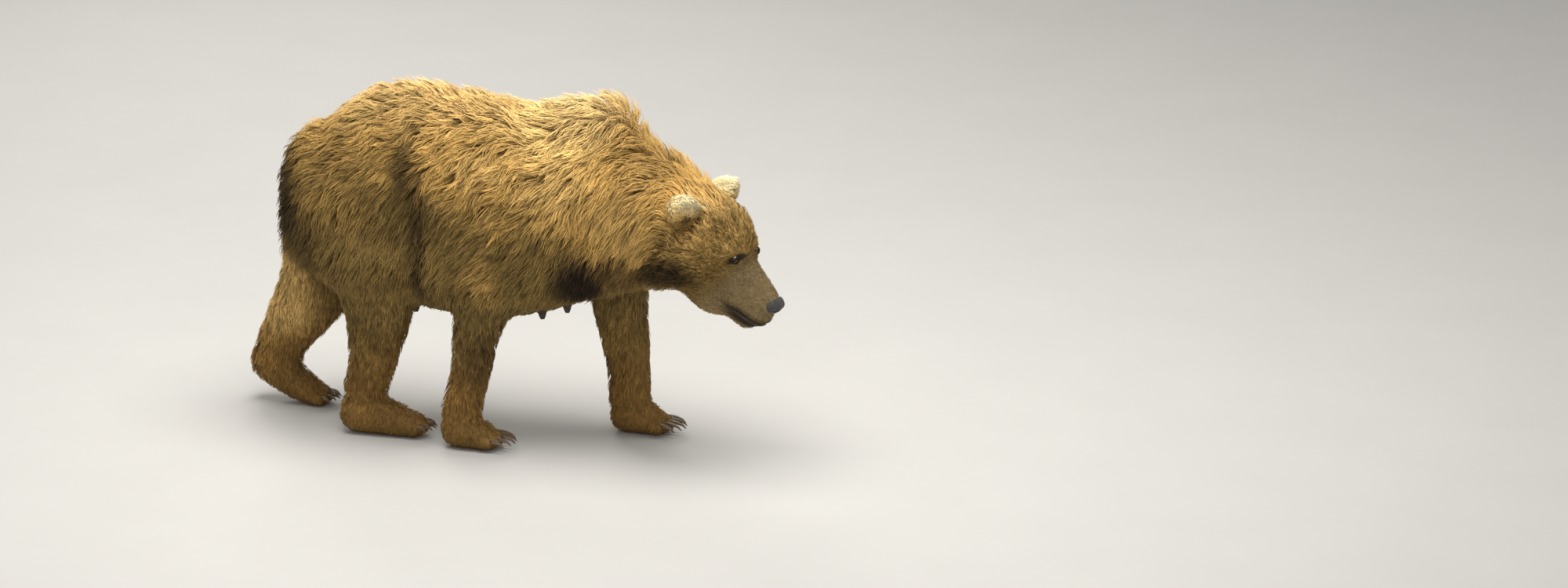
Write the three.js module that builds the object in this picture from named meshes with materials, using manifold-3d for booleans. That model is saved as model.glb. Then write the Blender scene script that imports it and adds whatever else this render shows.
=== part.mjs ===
// A grizzly bear, life size: a lean adult sow in a long, shaggy coat, walking with her head low.
// Millimetres, +Z up. The bear faces +X, her left side is +Y, and her soles are at z = 0.
//
// The body is one smooth field of round pieces (loft, cones and balls that melt into each other).
// Each node is a piece of that field, drawn at its own fineness and parted by thin flat cuts.
// Long coat is built of flat tapered locks that follow its lie and are rooted in their node.

import * as THREE from "three";
import { mergeVertices } from "three/addons/utils/BufferGeometryUtils.js";
import Module from "manifold-3d";

const wasm = await Module();
wasm.setup();
const { Manifold, Mesh } = wasm;

// ---------------------------------------------------------------- driving dimensions

const GAP = 0.3; // between two nodes that touch
const BLUNTNESS = 2.25; // how square the trunk's sections are; 2 is an ellipse

// Sections of the trunk: x, top, bottom, half width, height of the widest place.
const TRUNK = [
  [200, 928, 450, 168, 680],
  [320, 1025, 430, 205, 680],
  [450, 1070, 400, 230, 660],
  [620, 1056, 378, 250, 620],
  [780, 1037, 380, 258, 610],
  [920, 1020, 410, 245, 620],
  [1030, 1010, 450, 220, 640],
  [1140, 965, 490, 180, 680],
];
const RUMP_LENGTH = 145; // of the round cap behind the first section
const CHEST_LENGTH = 120; // of the round cap before the last one

const HUMP = { from: [975, 0, 950], to: [1080, 0, 962], radii: [108, 122], share: 0.95 };
const SHOULDER = { near: [910, -145, 680], far: [980, 145, 680], radii: [150, 100, 220] };
const NECK = [
  { from: [1060, 0, 745], to: [1240, -15, 714], radii: [238, 205], share: 0.88 },
  { from: [1240, -15, 714], to: [1350, -35, 683], radii: [205, 162], share: 0.95 },
];
const TAIL = { from: [115, 0, 800], to: [72, 0, 660], radii: [34, 24], share: 1 };

// The head has a frame of its own, centred between the ears: forward, left, up.
const HEAD_CENTRE = [1403, -50, 800];
const HEAD_YAW = 13; // degrees, turned to her right
const HEAD_PITCH = 46.5; // degrees, muzzle down

// Legs from the hip or shoulder down: x, y, z, fore-and-aft radius, width as a share of it.
const LEGS = {
  hind_left: {
    limb: [
      [270, 100, 700, 200, 0.62],
      [190, 125, 520, 160, 0.72],
      [92, 128, 340, 115, 0.8],
      [12, 125, 210, 84, 0.85],
      [-12, 122, 150, 77, 0.9],
    ],
    foot: [
      [-34, 122, 115, 62, 1],
      [40, 122, 66, 55, 1],
      [115, 122, 26, 38, 1.3],
    ],
  },
  hind_right: {
    limb: [
      [310, -100, 700, 200, 0.66],
      [395, -125, 500, 138, 0.75],
      [400, -120, 350, 100, 0.8],
      [375, -105, 220, 78, 0.85],
      [355, -100, 150, 72, 0.9],
    ],
    foot: [
      [335, -100, 62, 66, 1],
      [420, -100, 52, 56, 1.1],
      [505, -100, 34, 40, 1.3],
    ],
  },
  fore_right: {
    limb: [
      [830, -140, 720, 180, 0.6],
      [765, -155, 530, 112, 0.78],
      [725, -155, 360, 76, 0.95],
      [705, -150, 240, 64, 1],
      [675, -150, 120, 62, 1.05],
    ],
    foot: [
      [668, -150, 52, 58, 1],
      [710, -150, 46, 52, 1.2],
      [755, -150, 32, 38, 1.4],
    ],
  },
  fore_left: {
    limb: [
      [1000, 140, 720, 180, 0.6],
      [1050, 155, 530, 115, 0.78],
      [1068, 155, 380, 86, 0.95],
      [1090, 155, 220, 68, 1],
      [1095, 155, 120, 64, 1.05],
    ],
    foot: [
      [1093, 155, 52, 58, 1],
      [1140, 155, 46, 52, 1.2],
      [1185, 155, 32, 38, 1.4],
    ],
  },
};
const LIMB_STEPS = 4; // lengths that each stretch of a leg is smoothed into
const PAW_SOFTNESS = 30; // how softly a foot melts into its leg

// Toes and claws, counted across the paw.
const TOES = 5;
const TOE_ARC = 9; // how far the outer toes sit behind the middle one, for each step squared
const CLAW = {
  steps: 3,
  start: 0.55, // how far ahead of the toe's middle it starts, as a share of the toe
  curl: 1.25, // radians
  drop: 0.34, // of its tip, as a share of its length
  splay: 0.06,
  tip: 1.2, // radius
  taper: 1.3,
  lowest: 2.5, // over the floor
  flat: 0.72,
};
const FOREPAW = { spread: 24, toe: [30, 15, 21], reach: 24, claw: 50, claw_radius: 8 };
const HINDPAW = { spread: 21, toe: [27, 13, 19], reach: 26, claw: 30, claw_radius: 7 };

// Face, in the head's frame.
const EYE = { forward: 206, up: -2, radius: 12.5, depth: 7 };
const LID = {
  reach: 15, // from the middle of the eye to each corner
  radius: 4.2,
  steps: 7,
  past: 0.2, // how far it runs past each corner, in radians
  height: { upper: 0.62, lower: 0.55 }, // of its middle, as a share of the reach
  forward: [7.5, 2.5], // how far it stands out at its middle, and less at the corners
};
const MUZZLE_BACK = 187; // where muzzle and lower jaw part from the head
const MOUTH_BACK = [262, -137]; // forward, up
const MOUTH_FRONT = [406, -95];
const MOUTH_OPENING = 2.5;
const LIP = {
  radius: 6,
  corner: 0.45, // its radius at the corners of the mouth, as a share
  flat: 0.8,
  steps: 12,
  turn: 2.35, // radians from the front of the muzzle to each corner of the mouth
  middle: 0.5, // the point it turns round, as a share of the way along the mouth
};
const BAR_SIDES = 6; // of lips and lids
// The nose is a rounded wedge: a ball cut off behind, below, on top and in front.
const NOSE = {
  forward: 368,
  front: 399,
  top: 1,
  chin_side: -46,
  centre: [372, 0, -22],
  radii: [31, 34, 29],
};
const NOSTRIL = {
  centre: [394, 13, -19],
  radii: [11, 6, 7.5],
  slit: [396, 21, -25],
  slit_radii: [9, 7, 3],
};
const EAR = {
  centre: [14, 126, -8],
  radius: 52,
  depth: 42,
  wall: 17,
  opening: [0.82, 0.36, 0.38], // the way the cup faces
  flat: 0.92,
  rim: 0.45, // how far the rim stands past the cup's middle, as a share of the wall
  turns: 4,
  sides: 13,
};

// Cuts between the nodes of head, neck and trunk.
const HEAD_CUT = { at: [1290, -30, 750], facing: [0.97, -0.12, -0.2] };
const NECK_CUT = { at: [1120, 0, 750], facing: [1, 0, 0.05] };
const CHEST_CUT_X = 800;
const RUMP_CUT_X = 500;
const BELLY_CUT_Z = 370; // the legs are free of the trunk below this
// The block of each leg that is taken out of the trunk: x from, x to, inner |y|, top.
const LEG_BLOCK = {
  hind_left: [-60, 372, 36, 560],
  hind_right: [238, 548, 36, 560],
  fore_right: [640, 884, 58, 520],
  fore_left: [922, 1180, 55, 520],
};
const KNEE_Z = 300;
const ANKLE_Z = 150;
const TAIL_CUT = { at: [108, 0, 765], facing: [-0.75, 0, -0.66] };

// The long coat. It is deepest high on the body and thins out towards face, belly and legs.
const COAT_DEPTH = 54;
const COAT_ENDS_Z = [430, 640]; // none below the first, full above the second
const COAT_ENDS_FACE = [10, 120]; // along the head: full behind the first, none past the second
const CORE_SHARE = 0.5; // of the coat's depth that lies over the core

// A lock, root to tip: how far along it, height over the core, share of its width, thickness.
const LOCK_BEND = 0.28; // most that a lock turns aside, in radians for each station
const LOCK_VARY = { length: 0.16, width: 0.14, height: 3, angle: 4 }; // shares, mm and degrees
const LOCK_STATIONS = [
  [0, -15, 0.5, 15],
  [0.34, 11, 1, 17],
  [0.7, 23, 0.72, 12],
  [1, 29, 0.1, 3],
];
// Rows of locks, front to back: where the row is, the angles from the top, length, width.
const ANGLES_A = [12, 38, 64, 90];
const ANGLES_B = [0, 25, 51, 77, 101];
const TRUNK_ROWS = {
  forequarters: [
    [1085, ANGLES_B, 205, 104],
    [955, ANGLES_A, 215, 112],
    [835, ANGLES_B, 215, 116],
  ],
  barrel: [
    [725, ANGLES_A, 215, 116],
    [600, ANGLES_B, 215, 116],
  ],
  hindquarters: [
    [478, ANGLES_A, 215, 116],
    [355, ANGLES_B, 210, 112],
    [235, [14, 44, 76], 200, 112],
    [135, [0, 36, 72], 170, 96],
  ],
};
const NECK_ROWS = [
  [1278, [0, 33, 66, 100, 138], 185, 98],
  [1186, [17, 52, 88], 190, 104],
];
const RUFF_ROWS = [
  [0, [0, 96, 124, 150], 150, 78],
  [70, [112, 140, 165], 120, 64],
];
const TAIL_LOCKS = [[0, 150], [-14, 128], [15, 120]]; // across, length
const TAIL_LOCK = { width: 30, behind: 14, bow: 8, bow_turn: 2.4, above: 20 };

// Edge of the grid cells that each kind of node is drawn with.
const CELL = { trunk: 90, neck: 77, leg: 62, shin: 47, paw: 39, head: 37, muzzle: 25, jaw: 28, tail: 26 };

const FUR = { golden: "#c39a5e", pale: "#d9bf8c", brown: "#77593a", dark: "#3b2b1d" };

// ---------------------------------------------------------------- small vector helpers

const add = (a, b, s = 1) => [a[0] + b[0] * s, a[1] + b[1] * s, a[2] + b[2] * s];
const sub = (a, b) => [a[0] - b[0], a[1] - b[1], a[2] - b[2]];
const mul = (a, s) => [a[0] * s, a[1] * s, a[2] * s];
const dot = (a, b) => a[0] * b[0] + a[1] * b[1] + a[2] * b[2];
const cross = (a, b) => [
  a[1] * b[2] - a[2] * b[1],
  a[2] * b[0] - a[0] * b[2],
  a[0] * b[1] - a[1] * b[0],
];
const unit = (a) => mul(a, 1 / Math.hypot(...a));
const clamp = (v, low, high) => Math.min(Math.max(v, low), high);
const mix = (a, b, t) => a + (b - a) * t;
const ramp = (v, from, to) => {
  const t = clamp((v - from) / (to - from), 0, 1);
  return t * t * (3 - 2 * t);
};

// A cubic curve through (xs, ys), held at its ends.
function curve(xs, ys) {
  const last = xs.length - 1;
  const slope = xs.map((x, i) => {
    const [a, b] = [Math.max(i - 1, 0), Math.min(i + 1, last)];
    if (i === 0 || i === last) return (ys[b] - ys[a]) / (xs[b] - xs[a]);
    const [h0, h1] = [x - xs[a], xs[b] - x];
    const [s0, s1] = [(ys[i] - ys[a]) / h0, (ys[b] - ys[i]) / h1];
    return (s0 * h1 + s1 * h0) / (h0 + h1);
  });
  return (x) => {
    let i = 0;
    while (i < last - 1 && x > xs[i + 1]) i += 1;
    const h = xs[i + 1] - xs[i];
    const t = clamp((x - xs[i]) / h, 0, 1);
    const r = 1 - t;
    return (
      (1 + 2 * t) * r * r * ys[i] +
      t * r * r * h * slope[i] +
      t * t * (3 - 2 * t) * ys[i + 1] -
      t * t * r * h * slope[i + 1]
    );
  };
}

// ---------------------------------------------------------------- the head's frame

const FORWARD = unit([
  Math.cos(THREE.MathUtils.degToRad(HEAD_PITCH)) * Math.cos(THREE.MathUtils.degToRad(HEAD_YAW)),
  -Math.cos(THREE.MathUtils.degToRad(HEAD_PITCH)) * Math.sin(THREE.MathUtils.degToRad(HEAD_YAW)),
  -Math.sin(THREE.MathUtils.degToRad(HEAD_PITCH)),
]);
const LEFT = unit([
  Math.sin(THREE.MathUtils.degToRad(HEAD_YAW)),
  Math.cos(THREE.MathUtils.degToRad(HEAD_YAW)),
  0,
]);
const UP = cross(FORWARD, LEFT);
const HEAD_AXES = [FORWARD, LEFT, UP];
const BODY_AXES = [
  [1, 0, 0],
  [0, 1, 0],
  [0, 0, 1],
];

const headPoint = (f, l, u) => add(add(add(HEAD_CENTRE, FORWARD, f), LEFT, l), UP, u);
const headDirection = (f, l, u) => add(add(mul(FORWARD, f), LEFT, l), UP, u);

// ---------------------------------------------------------------- fields: below 0 is inside

// The smaller of two fields, melted over a width k.
function melt(a, b, k) {
  const h = clamp(0.5 + (0.5 * (b - a)) / k, 0, 1);
  return mix(b, a, h) - k * h * (1 - h);
}

// A round cone from a to b, its width along `side` a share of its height.
function cone(a, b, radiusA, radiusB, share = 1, side = BODY_AXES[1]) {
  const widen = (v) => add(v, side, dot(v, side) * (1 / share - 1));
  const line = widen(sub(b, a));
  const lineLine = dot(line, line);
  const scale = Math.sqrt(Math.min(share, 1));
  return (p) => {
    const q = widen(sub(p, a));
    const t = clamp(dot(q, line) / lineLine, 0, 1);
    return (Math.hypot(...add(q, line, -t)) - mix(radiusA, radiusB, t)) * scale;
  };
}

// An ellipsoid.
function ball(centre, radii, axes = BODY_AXES) {
  return (p) => {
    const q = sub(p, centre);
    const s = axes.map((axis, i) => dot(q, axis) / radii[i]);
    const reach = Math.hypot(...s);
    const slope = Math.hypot(...s.map((v, i) => v / radii[i]));
    return slope < 1e-9 ? -Math.min(...radii) : (reach * (reach - 1)) / slope;
  };
}

const trunkCurves = [1, 2, 3, 4].map((i) =>
  curve(
    TRUNK.map((row) => row[0]),
    TRUNK.map((row) => row[i]),
  ),
);

function trunk([x, y, z]) {
  const at = clamp(x, TRUNK[0][0], TRUNK[TRUNK.length - 1][0]);
  const [top, bottom, halfWidth, waist] = trunkCurves.map((f) => f(at));
  const rise = z - waist;
  const height = rise > 0 ? top - waist : waist - bottom;
  const beyond = x < at ? (at - x) / RUMP_LENGTH : (x - at) / CHEST_LENGTH;
  const n = BLUNTNESS;
  const rho =
    (Math.abs(rise / height) ** n + Math.abs(y / halfWidth) ** n + beyond ** n) ** (1 / n);
  if (rho < 1e-6) return -Math.min(height, halfWidth);
  return Math.hypot(rise, y, x - at) * (1 - 1 / rho);
}

const headBall = (f, l, u, radii) => ball(headPoint(f, l, u), radii, HEAD_AXES);
const headCone = (from, to, r0, r1, share = 1) =>
  cone(headPoint(...from), headPoint(...to), r0, r1, share, LEFT);

// The pieces of the head and how softly each one melts in.
const HEAD_PIECES = [
  [headBall(45, 0, -35, [125, 115, 110]), 0], // skull
  [headBall(135, 0, -20, [80, 82, 84]), 30], // forehead
  [headCone([200, 0, -52], [345, 0, -41], 62, 44, 1.1), 30], // muzzle
  [headBall(374, 0, -22, [20, 30, 23]), 15], // nose
  [headCone([245, 0, -88], [363, 0, -80], 56, 41, 1.08), 20], // upper lips
  [headCone([100, 0, -156], [345, 0, -126], 76, 37, 1.1), 25], // lower jaw
  [headBall(190, 0, -174, [105, 70, 66]), 30], // throat
  ...[-1, 1].flatMap((s) => [
    [headBall(85, s * 75, -85, [110, 70, 95]), 40], // cheek
    [headBall(20, s * 70, -140, [110, 90, 120]), 40], // ruff
    [headCone([200, s * 30, 0], [175, s * 62, -10], 22, 25), 30], // brow
  ]),
];

function meltAll(pieces) {
  return (p) => {
    let d = pieces[0][0](p);
    for (const [piece, softness] of pieces.slice(1)) d = melt(d, piece(p), softness);
    return d;
  };
}

const head = meltAll(HEAD_PIECES);

const coneOf = ({ from, to, radii, share }) => cone(from, to, ...radii, share);

// A leg or foot as a chain of cones through its smoothed joints.
function chain(joints) {
  const at = joints.map((_, i) => i);
  const curves = joints[0].map((_, i) => curve(at, joints.map((joint) => joint[i])));
  const count = (joints.length - 1) * LIMB_STEPS;
  const points = Array.from({ length: count + 1 }, (_, i) =>
    curves.map((f) => f(i / LIMB_STEPS)),
  );
  const cones = points.slice(1).map((b, i) => {
    const a = points[i];
    return cone(a.slice(0, 3), b.slice(0, 3), a[3], b[3], (a[4] + b[4]) / 2);
  });
  return (p) => cones.reduce((d, piece) => Math.min(d, piece(p)), Infinity);
}

const legs = Object.fromEntries(
  Object.entries(LEGS).map(([name, { limb, foot }]) => [
    name,
    meltAll([
      [chain(limb), 0],
      [chain(foot), PAW_SOFTNESS],
    ]),
  ]),
);

const body = meltAll([
  [trunk, 0],
  [coneOf(HUMP), 80],
  [ball(SHOULDER.near, SHOULDER.radii), 50],
  [ball(SHOULDER.far, SHOULDER.radii), 50],
  [meltAll(NECK.map((length) => [coneOf(length), 20])), 50],
  [head, 30],
  ...Object.values(legs).map((leg) => [leg, 40]),
]);
const tail = coneOf(TAIL);

// The way out of a field's surface at p.
function outward(field, p) {
  const step = 1.5;
  return unit(
    BODY_AXES.map((axis) => field(add(p, axis, step)) - field(add(p, axis, -step))),
  );
}

// The point of the surface that p lies nearest to, or of the surface that lies `lift` above it.
function ontoSurface(field, p, lift = 0, rounds = 3) {
  for (let i = 0; i < rounds; i += 1) p = add(p, outward(field, p), lift - field(p));
  return p;
}

// ---------------------------------------------------------------- solids

function solidOf(geometry) {
  const bare = new THREE.BufferGeometry();
  bare.setAttribute("position", geometry.getAttribute("position").clone());
  if (geometry.index) bare.setIndex(geometry.index.clone());
  const merged = mergeVertices(bare, 1e-3);
  return new Manifold(
    new Mesh({
      numProp: 3,
      vertProperties: new Float32Array(merged.attributes.position.array),
      triVerts: new Uint32Array(merged.index.array),
    }),
  );
}

function geometryOf(points, triangles) {
  const geometry = new THREE.BufferGeometry();
  geometry.setAttribute("position", new THREE.Float32BufferAttribute(points.flat(), 3));
  geometry.setIndex(triangles.flat());
  return geometry;
}

// A block between two corners.
function block(low, high) {
  const size = sub(high, low);
  const geometry = new THREE.BoxGeometry(...size);
  return solidOf(geometry.translate(...add(low, size, 0.5)));
}

// Everything ahead of a plane, within reach of the bear.
const FAR = 3000;
function beyondPlane(at, facing, offset = 0) {
  const geometry = new THREE.BoxGeometry(2 * FAR, 2 * FAR, FAR).translate(0, 0, FAR / 2);
  const turn = new THREE.Quaternion().setFromUnitVectors(
    new THREE.Vector3(0, 0, 1),
    new THREE.Vector3(...unit(facing)),
  );
  geometry.applyQuaternion(turn).translate(...add(at, unit(facing), offset));
  return solidOf(geometry);
}

// Corner numbers of a cell's twelve edges; bit 0 is +x, bit 1 +y, bit 2 +z.
const CELL_EDGES = [1, 2, 4].flatMap((bit) =>
  [0, 1, 2, 3, 4, 5, 6, 7].filter((c) => !(c & bit)).map((c) => [c, c | bit]),
);

// A field's surface between two corners as a closed mesh: one point in each grid cell that the
// surface crosses, moved onto the surface, and one quad across each grid edge that it crosses.
function surfaceSolid(field, low, high, cell) {
  const counts = low.map((v, i) => Math.ceil((high[i] - v) / cell) + 1);
  const [nx, ny, nz] = counts;
  const at = (i, j, k) => (k * ny + j) * nx + i;
  const place = (i, j, k) => [low[0] + i * cell, low[1] + j * cell, low[2] + k * cell];
  const onBorder = (i, j, k) =>
    i === 0 || j === 0 || k === 0 || i === nx - 1 || j === ny - 1 || k === nz - 1;
  const values = new Float64Array(nx * ny * nz);
  for (let k = 0; k < nz; k += 1)
    for (let j = 0; j < ny; j += 1)
      for (let i = 0; i < nx; i += 1) {
        const value = field(place(i, j, k));
        values[at(i, j, k)] = onBorder(i, j, k) ? Math.max(value, cell / 2) : value || 1e-6;
      }
  const points = [];
  const pointOf = new Map();
  for (let k = 0; k < nz - 1; k += 1)
    for (let j = 0; j < ny - 1; j += 1)
      for (let i = 0; i < nx - 1; i += 1) {
        const corners = [0, 1, 2, 3, 4, 5, 6, 7].map((c) => [
          i + (c & 1),
          j + ((c >> 1) & 1),
          k + ((c >> 2) & 1),
        ]);
        const v = corners.map((c) => values[at(...c)]);
        const crossings = CELL_EDGES.filter(([a, b]) => v[a] < 0 !== v[b] < 0).map(([a, b]) => {
          const [from, to] = [place(...corners[a]), place(...corners[b])];
          return add(from, sub(to, from), v[a] / (v[a] - v[b]));
        });
        if (!crossings.length) continue;
        let p = mul(crossings.reduce((sum, c) => add(sum, c)), 1 / crossings.length);
        if (!corners.some((c) => onBorder(...c))) {
          const moved = ontoSurface(field, p, 0, 2);
          const step = sub(moved, p);
          p = add(p, step, Math.min(1, (0.4 * cell) / (Math.hypot(...step) + 1e-9)));
        }
        pointOf.set(at(i, j, k), points.length);
        points.push(p);
      }
  const triangles = [];
  const quad = (cells, flip) => {
    const q = cells.map((c) => pointOf.get(at(...c)));
    if (flip) q.reverse();
    const short = (a, b) => Math.hypot(...sub(points[q[a]], points[q[b]]));
    if (short(0, 2) < short(1, 3)) triangles.push([q[0], q[1], q[2]], [q[0], q[2], q[3]]);
    else triangles.push([q[0], q[1], q[3]], [q[1], q[2], q[3]]);
  };
  for (let k = 0; k < nz; k += 1)
    for (let j = 0; j < ny; j += 1)
      for (let i = 0; i < nx; i += 1) {
        const here = values[at(i, j, k)] < 0;
        if (i < nx - 1 && j && k && here !== values[at(i + 1, j, k)] < 0)
          quad([[i, j - 1, k - 1], [i, j, k - 1], [i, j, k], [i, j - 1, k]], !here);
        if (j < ny - 1 && i && k && here !== values[at(i, j + 1, k)] < 0)
          quad([[i - 1, j, k - 1], [i - 1, j, k], [i, j, k], [i, j, k - 1]], !here);
        if (k < nz - 1 && i && j && here !== values[at(i, j, k + 1)] < 0)
          quad([[i - 1, j - 1, k], [i, j - 1, k], [i, j, k], [i - 1, j, k]], !here);
      }
  return solidOf(geometryOf(points, triangles));
}

const largest = (solid) =>
  solid.decompose().reduce((best, piece) => (piece.volume() > best.volume() ? piece : best));

// A solid with every vertex moved out along its normal.
function grown(solid, by) {
  const { vertProperties, triVerts } = solid.getMesh();
  const geometry = new THREE.BufferGeometry();
  geometry.setAttribute("position", new THREE.BufferAttribute(vertProperties.slice(), 3));
  geometry.setIndex(new THREE.BufferAttribute(triVerts.slice(), 1));
  geometry.computeVertexNormals();
  const { position, normal } = geometry.attributes;
  const moved = position.array.map((v, i) => v + normal.array[i] * by);
  return new Manifold(new Mesh({ numProp: 3, vertProperties: moved, triVerts }));
}

// Rings of equal size joined into one closed body, each end closed by a fan.
function skin(rings) {
  const sides = rings[0].length;
  const points = rings.flat();
  const triangles = [];
  for (let r = 0; r < rings.length - 1; r += 1)
    for (let s = 0; s < sides; s += 1) {
      const [a, b] = [r * sides + s, r * sides + ((s + 1) % sides)];
      triangles.push([a, b, b + sides], [a, b + sides, a + sides]);
    }
  const last = (rings.length - 1) * sides;
  for (let s = 1; s < sides - 1; s += 1) {
    triangles.push([0, s + 1, s], [last, last + s, last + s + 1]);
  }
  return solidOf(geometryOf(points, triangles));
}

const FATTER = { across: 2.2, ends: 3 }; // how much a bar's room grows for each mm that it is moved out

// The stations of a four-sided bar, made so much larger that each face moves out by `by`.
function fatter(stations, by) {
  const last = stations.length - 1;
  return stations.map((station, i) => {
    const { at, width, height } = station;
    const slant = Math.hypot(width, height);
    const beside = stations[i === 0 ? 1 : i - 1].at;
    const atEnd = i === 0 || i === last;
    const outwardStep = atEnd ? mul(unit(sub(at, beside)), FATTER.ends * by) : [0, 0, 0];
    return {
      ...station,
      at: add(at, outwardStep),
      width: width + (FATTER.across * by * slant) / height,
      height: height + (FATTER.across * by * slant) / width,
    };
  });
}

// A tapered bar through stations of { at, side, up, width, height }, with so many sides.
function bar(stations, sides) {
  return skin(
    stations.map(({ at, side, up, width, height }) =>
      Array.from({ length: sides }, (_, i) => {
        const angle = (2 * Math.PI * i) / sides;
        return add(
          add(at, side, (Math.cos(angle) * width) / 2),
          up,
          (Math.sin(angle) * height) / 2,
        );
      }),
    ),
  );
}

// A round bar of changing radius along points, its sections square to the path.
function roundBar(points, radii, sides, share = 1, hint = UP) {
  const stations = points.map((at, i) => {
    const ahead = unit(
      sub(points[Math.min(i + 1, points.length - 1)], points[Math.max(i - 1, 0)]),
    );
    const side = unit(cross(hint, ahead));
    return {
      at,
      side,
      up: cross(ahead, side),
      width: 2 * radii[i] * share,
      height: 2 * radii[i],
    };
  });
  return bar(stations, sides);
}

function ellipsoid(centre, radii, axes, detail = [12, 8]) {
  const geometry = new THREE.SphereGeometry(1, ...detail).scale(...radii);
  const basis = new THREE.Matrix4().makeBasis(...axes.map((a) => new THREE.Vector3(...a)));
  return solidOf(geometry.applyMatrix4(basis).translate(...centre));
}

// How often a search between two places is halved.
const HALVINGS = 24;

// ---------------------------------------------------------------- the coat

const alongHead = (p) => dot(sub(p, HEAD_CENTRE), FORWARD);
const coatDepth = (p) =>
  COAT_DEPTH * ramp(p[2], ...COAT_ENDS_Z) * (1 - ramp(alongHead(p), ...COAT_ENDS_FACE));
const core = (p) => body(p) + coatDepth(p) * CORE_SHARE;

// The way the coat lies at p, along the surface whose outward way is n.
function lie(p, n) {
  const flank = 1 - Math.abs(n[2]);
  const onHead = ramp(alongHead(p), -110, -10) * ramp(p[0], 1220, 1340);
  const onRump = 1 - ramp(p[0], 70, 300);
  const onLeg = 1 - ramp(p[2], 420, 560);
  let way = [-1, 0, -0.12 - 0.75 * flank];
  const toward = (target, share) => {
    way = way.map((v, i) => mix(v, target[i], share));
  };
  toward([-0.3, 0, -1], onRump * flank);
  toward(headDirection(-1, 0, -0.55 * flank), onHead);
  toward([-0.12, 0, -1], onLeg * (1 - onHead));
  return unit(sub(way, mul(n, dot(way, n))));
}

// Seeded random numbers from -1 to 1.
function makeRandom(seed) {
  let state = seed;
  return () => {
    state = (state * 1664525 + 1013904223) >>> 0;
    return (state / 2 ** 32) * 2 - 1;
  };
}
const vary = makeRandom(20);

// A flat tapered lock that leaves the core at `root` and follows the lie of the coat, and the
// room that it takes up with its gap.
function lock(root, length, width) {
  const bend = vary() * LOCK_BEND;
  const long = length * (1 + vary() * LOCK_VARY.length);
  const wide = width * (1 + vary() * LOCK_VARY.width);
  let p = root;
  let travelled = 0;
  const stations = LOCK_STATIONS.map(([along, height, share, thickness], i) => {
    const n = outward(core, p);
    const straight = lie(p, n);
    const way = unit(add(straight, cross(n, straight), bend * (i - 1)));
    p = add(p, way, (along - travelled) * long);
    travelled = along;
    p = ontoSurface(core, p, 0, 2);
    const up = outward(core, p);
    const flow = lie(p, up);
    const swing = unit(add(flow, cross(up, flow), bend * (i - 0.5)));
    return {
      at: add(p, up, height + (i ? vary() * LOCK_VARY.height : 0)),
      side: cross(up, swing),
      up,
      width: wide * share,
      height: thickness,
    };
  });
  return { solid: bar(stations, 4), room: bar(fatter(stations, 2 * GAP), 4) };
}

// The point of the core that is seen from `centre` along `way`.
function corePoint(centre, way) {
  let [inner, outer] = [0, 600];
  for (let i = 0; i < HALVINGS; i += 1) {
    const reach = (inner + outer) / 2;
    if (core(add(centre, way, reach)) < 0) inner = reach;
    else outer = reach;
  }
  return add(centre, way, inner);
}

// The locks of one row: round `centre`, at angles from `top`, on both sides.
function row(centre, top, side, angles, length, width) {
  const signed = angles.flatMap((angle) => (angle ? [-angle, angle] : [0]));
  return signed.map((degrees) => {
    const angle = THREE.MathUtils.degToRad(degrees + vary() * LOCK_VARY.angle);
    const way = add(mul(top, Math.cos(angle)), side, Math.sin(angle));
    return lock(corePoint(centre, way), length, width);
  });
}

const ROW_HEIGHT = 660; // of the point that a trunk row's angles are counted from
const trunkRow = ([x, angles, length, width]) =>
  row([x, 0, ROW_HEIGHT], BODY_AXES[2], BODY_AXES[1], angles, length, width);
const ruffRow = ([forward, angles, length, width]) =>
  row(headPoint(forward, 0, -70), UP, LEFT, angles, length, width);

// ---------------------------------------------------------------- trunk and neck

const MARGIN = 2.2; // cells drawn past a cut, so that the cut itself is flat

// A field's surface within a box that reaches past the given corners by the margin.
const drawn = (field, low, high, cell) =>
  surfaceSolid(
    field,
    low.map((v) => v - MARGIN * cell),
    high.map((v) => v + MARGIN * cell),
    cell,
  );

const between = (solid, ...cutters) =>
  largest(cutters.reduce((rest, cutter) => rest.subtract(cutter), solid));

const HALF_GAP = GAP / 2;
const sideOf = (leg) => (leg.endsWith("left") ? 1 : -1);

// The block of the trunk that belongs to a leg, larger or smaller by a margin.
function legBlock(name, by) {
  const [from, to, inner, top] = LEG_BLOCK[name];
  const side = sideOf(name);
  const ys = [side * (inner - by), side * FAR].sort((a, b) => a - b);
  return block([from - by, ys[0], BELLY_CUT_Z - 5], [to + by, ys[1], top + by]);
}

const belowBelly = block([-FAR, -FAR, -FAR], [FAR, FAR, BELLY_CUT_Z + HALF_GAP]);
const trunkCutters = [belowBelly, ...Object.keys(LEGS).map((leg) => legBlock(leg, HALF_GAP))];
const aheadOfX = (x, offset) => beyondPlane([x, 0, 0], [1, 0, 0], offset);
const behindX = (x, offset) => beyondPlane([x, 0, 0], [-1, 0, 0], offset);
const ahead = ({ at, facing }, offset) => beyondPlane(at, facing, offset);
const behind = ({ at, facing }, offset) => beyondPlane(at, mul(facing, -1), offset);

const TRUNK_REACH = { side: 300, top: 1075 };
const trunkPiece = (fromX, toX, ...cutters) =>
  between(
    drawn(
      core,
      [fromX, -TRUNK_REACH.side, BELLY_CUT_Z],
      [toX, TRUNK_REACH.side, TRUNK_REACH.top],
      CELL.trunk,
    ),
    ...trunkCutters,
    ...cutters,
  );

// A node's core with its locks, kept within its own cuts and clear of the locks before it.
function coated(coreSolid, locks, cuts, lockRooms) {
  const whole = Manifold.union([coreSolid, ...locks.map(({ solid }) => solid)]);
  return between(whole, ...cuts, ...lockRooms);
}
const roomOf = (locks) => Manifold.union(locks.map(({ room }) => room));

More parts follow.
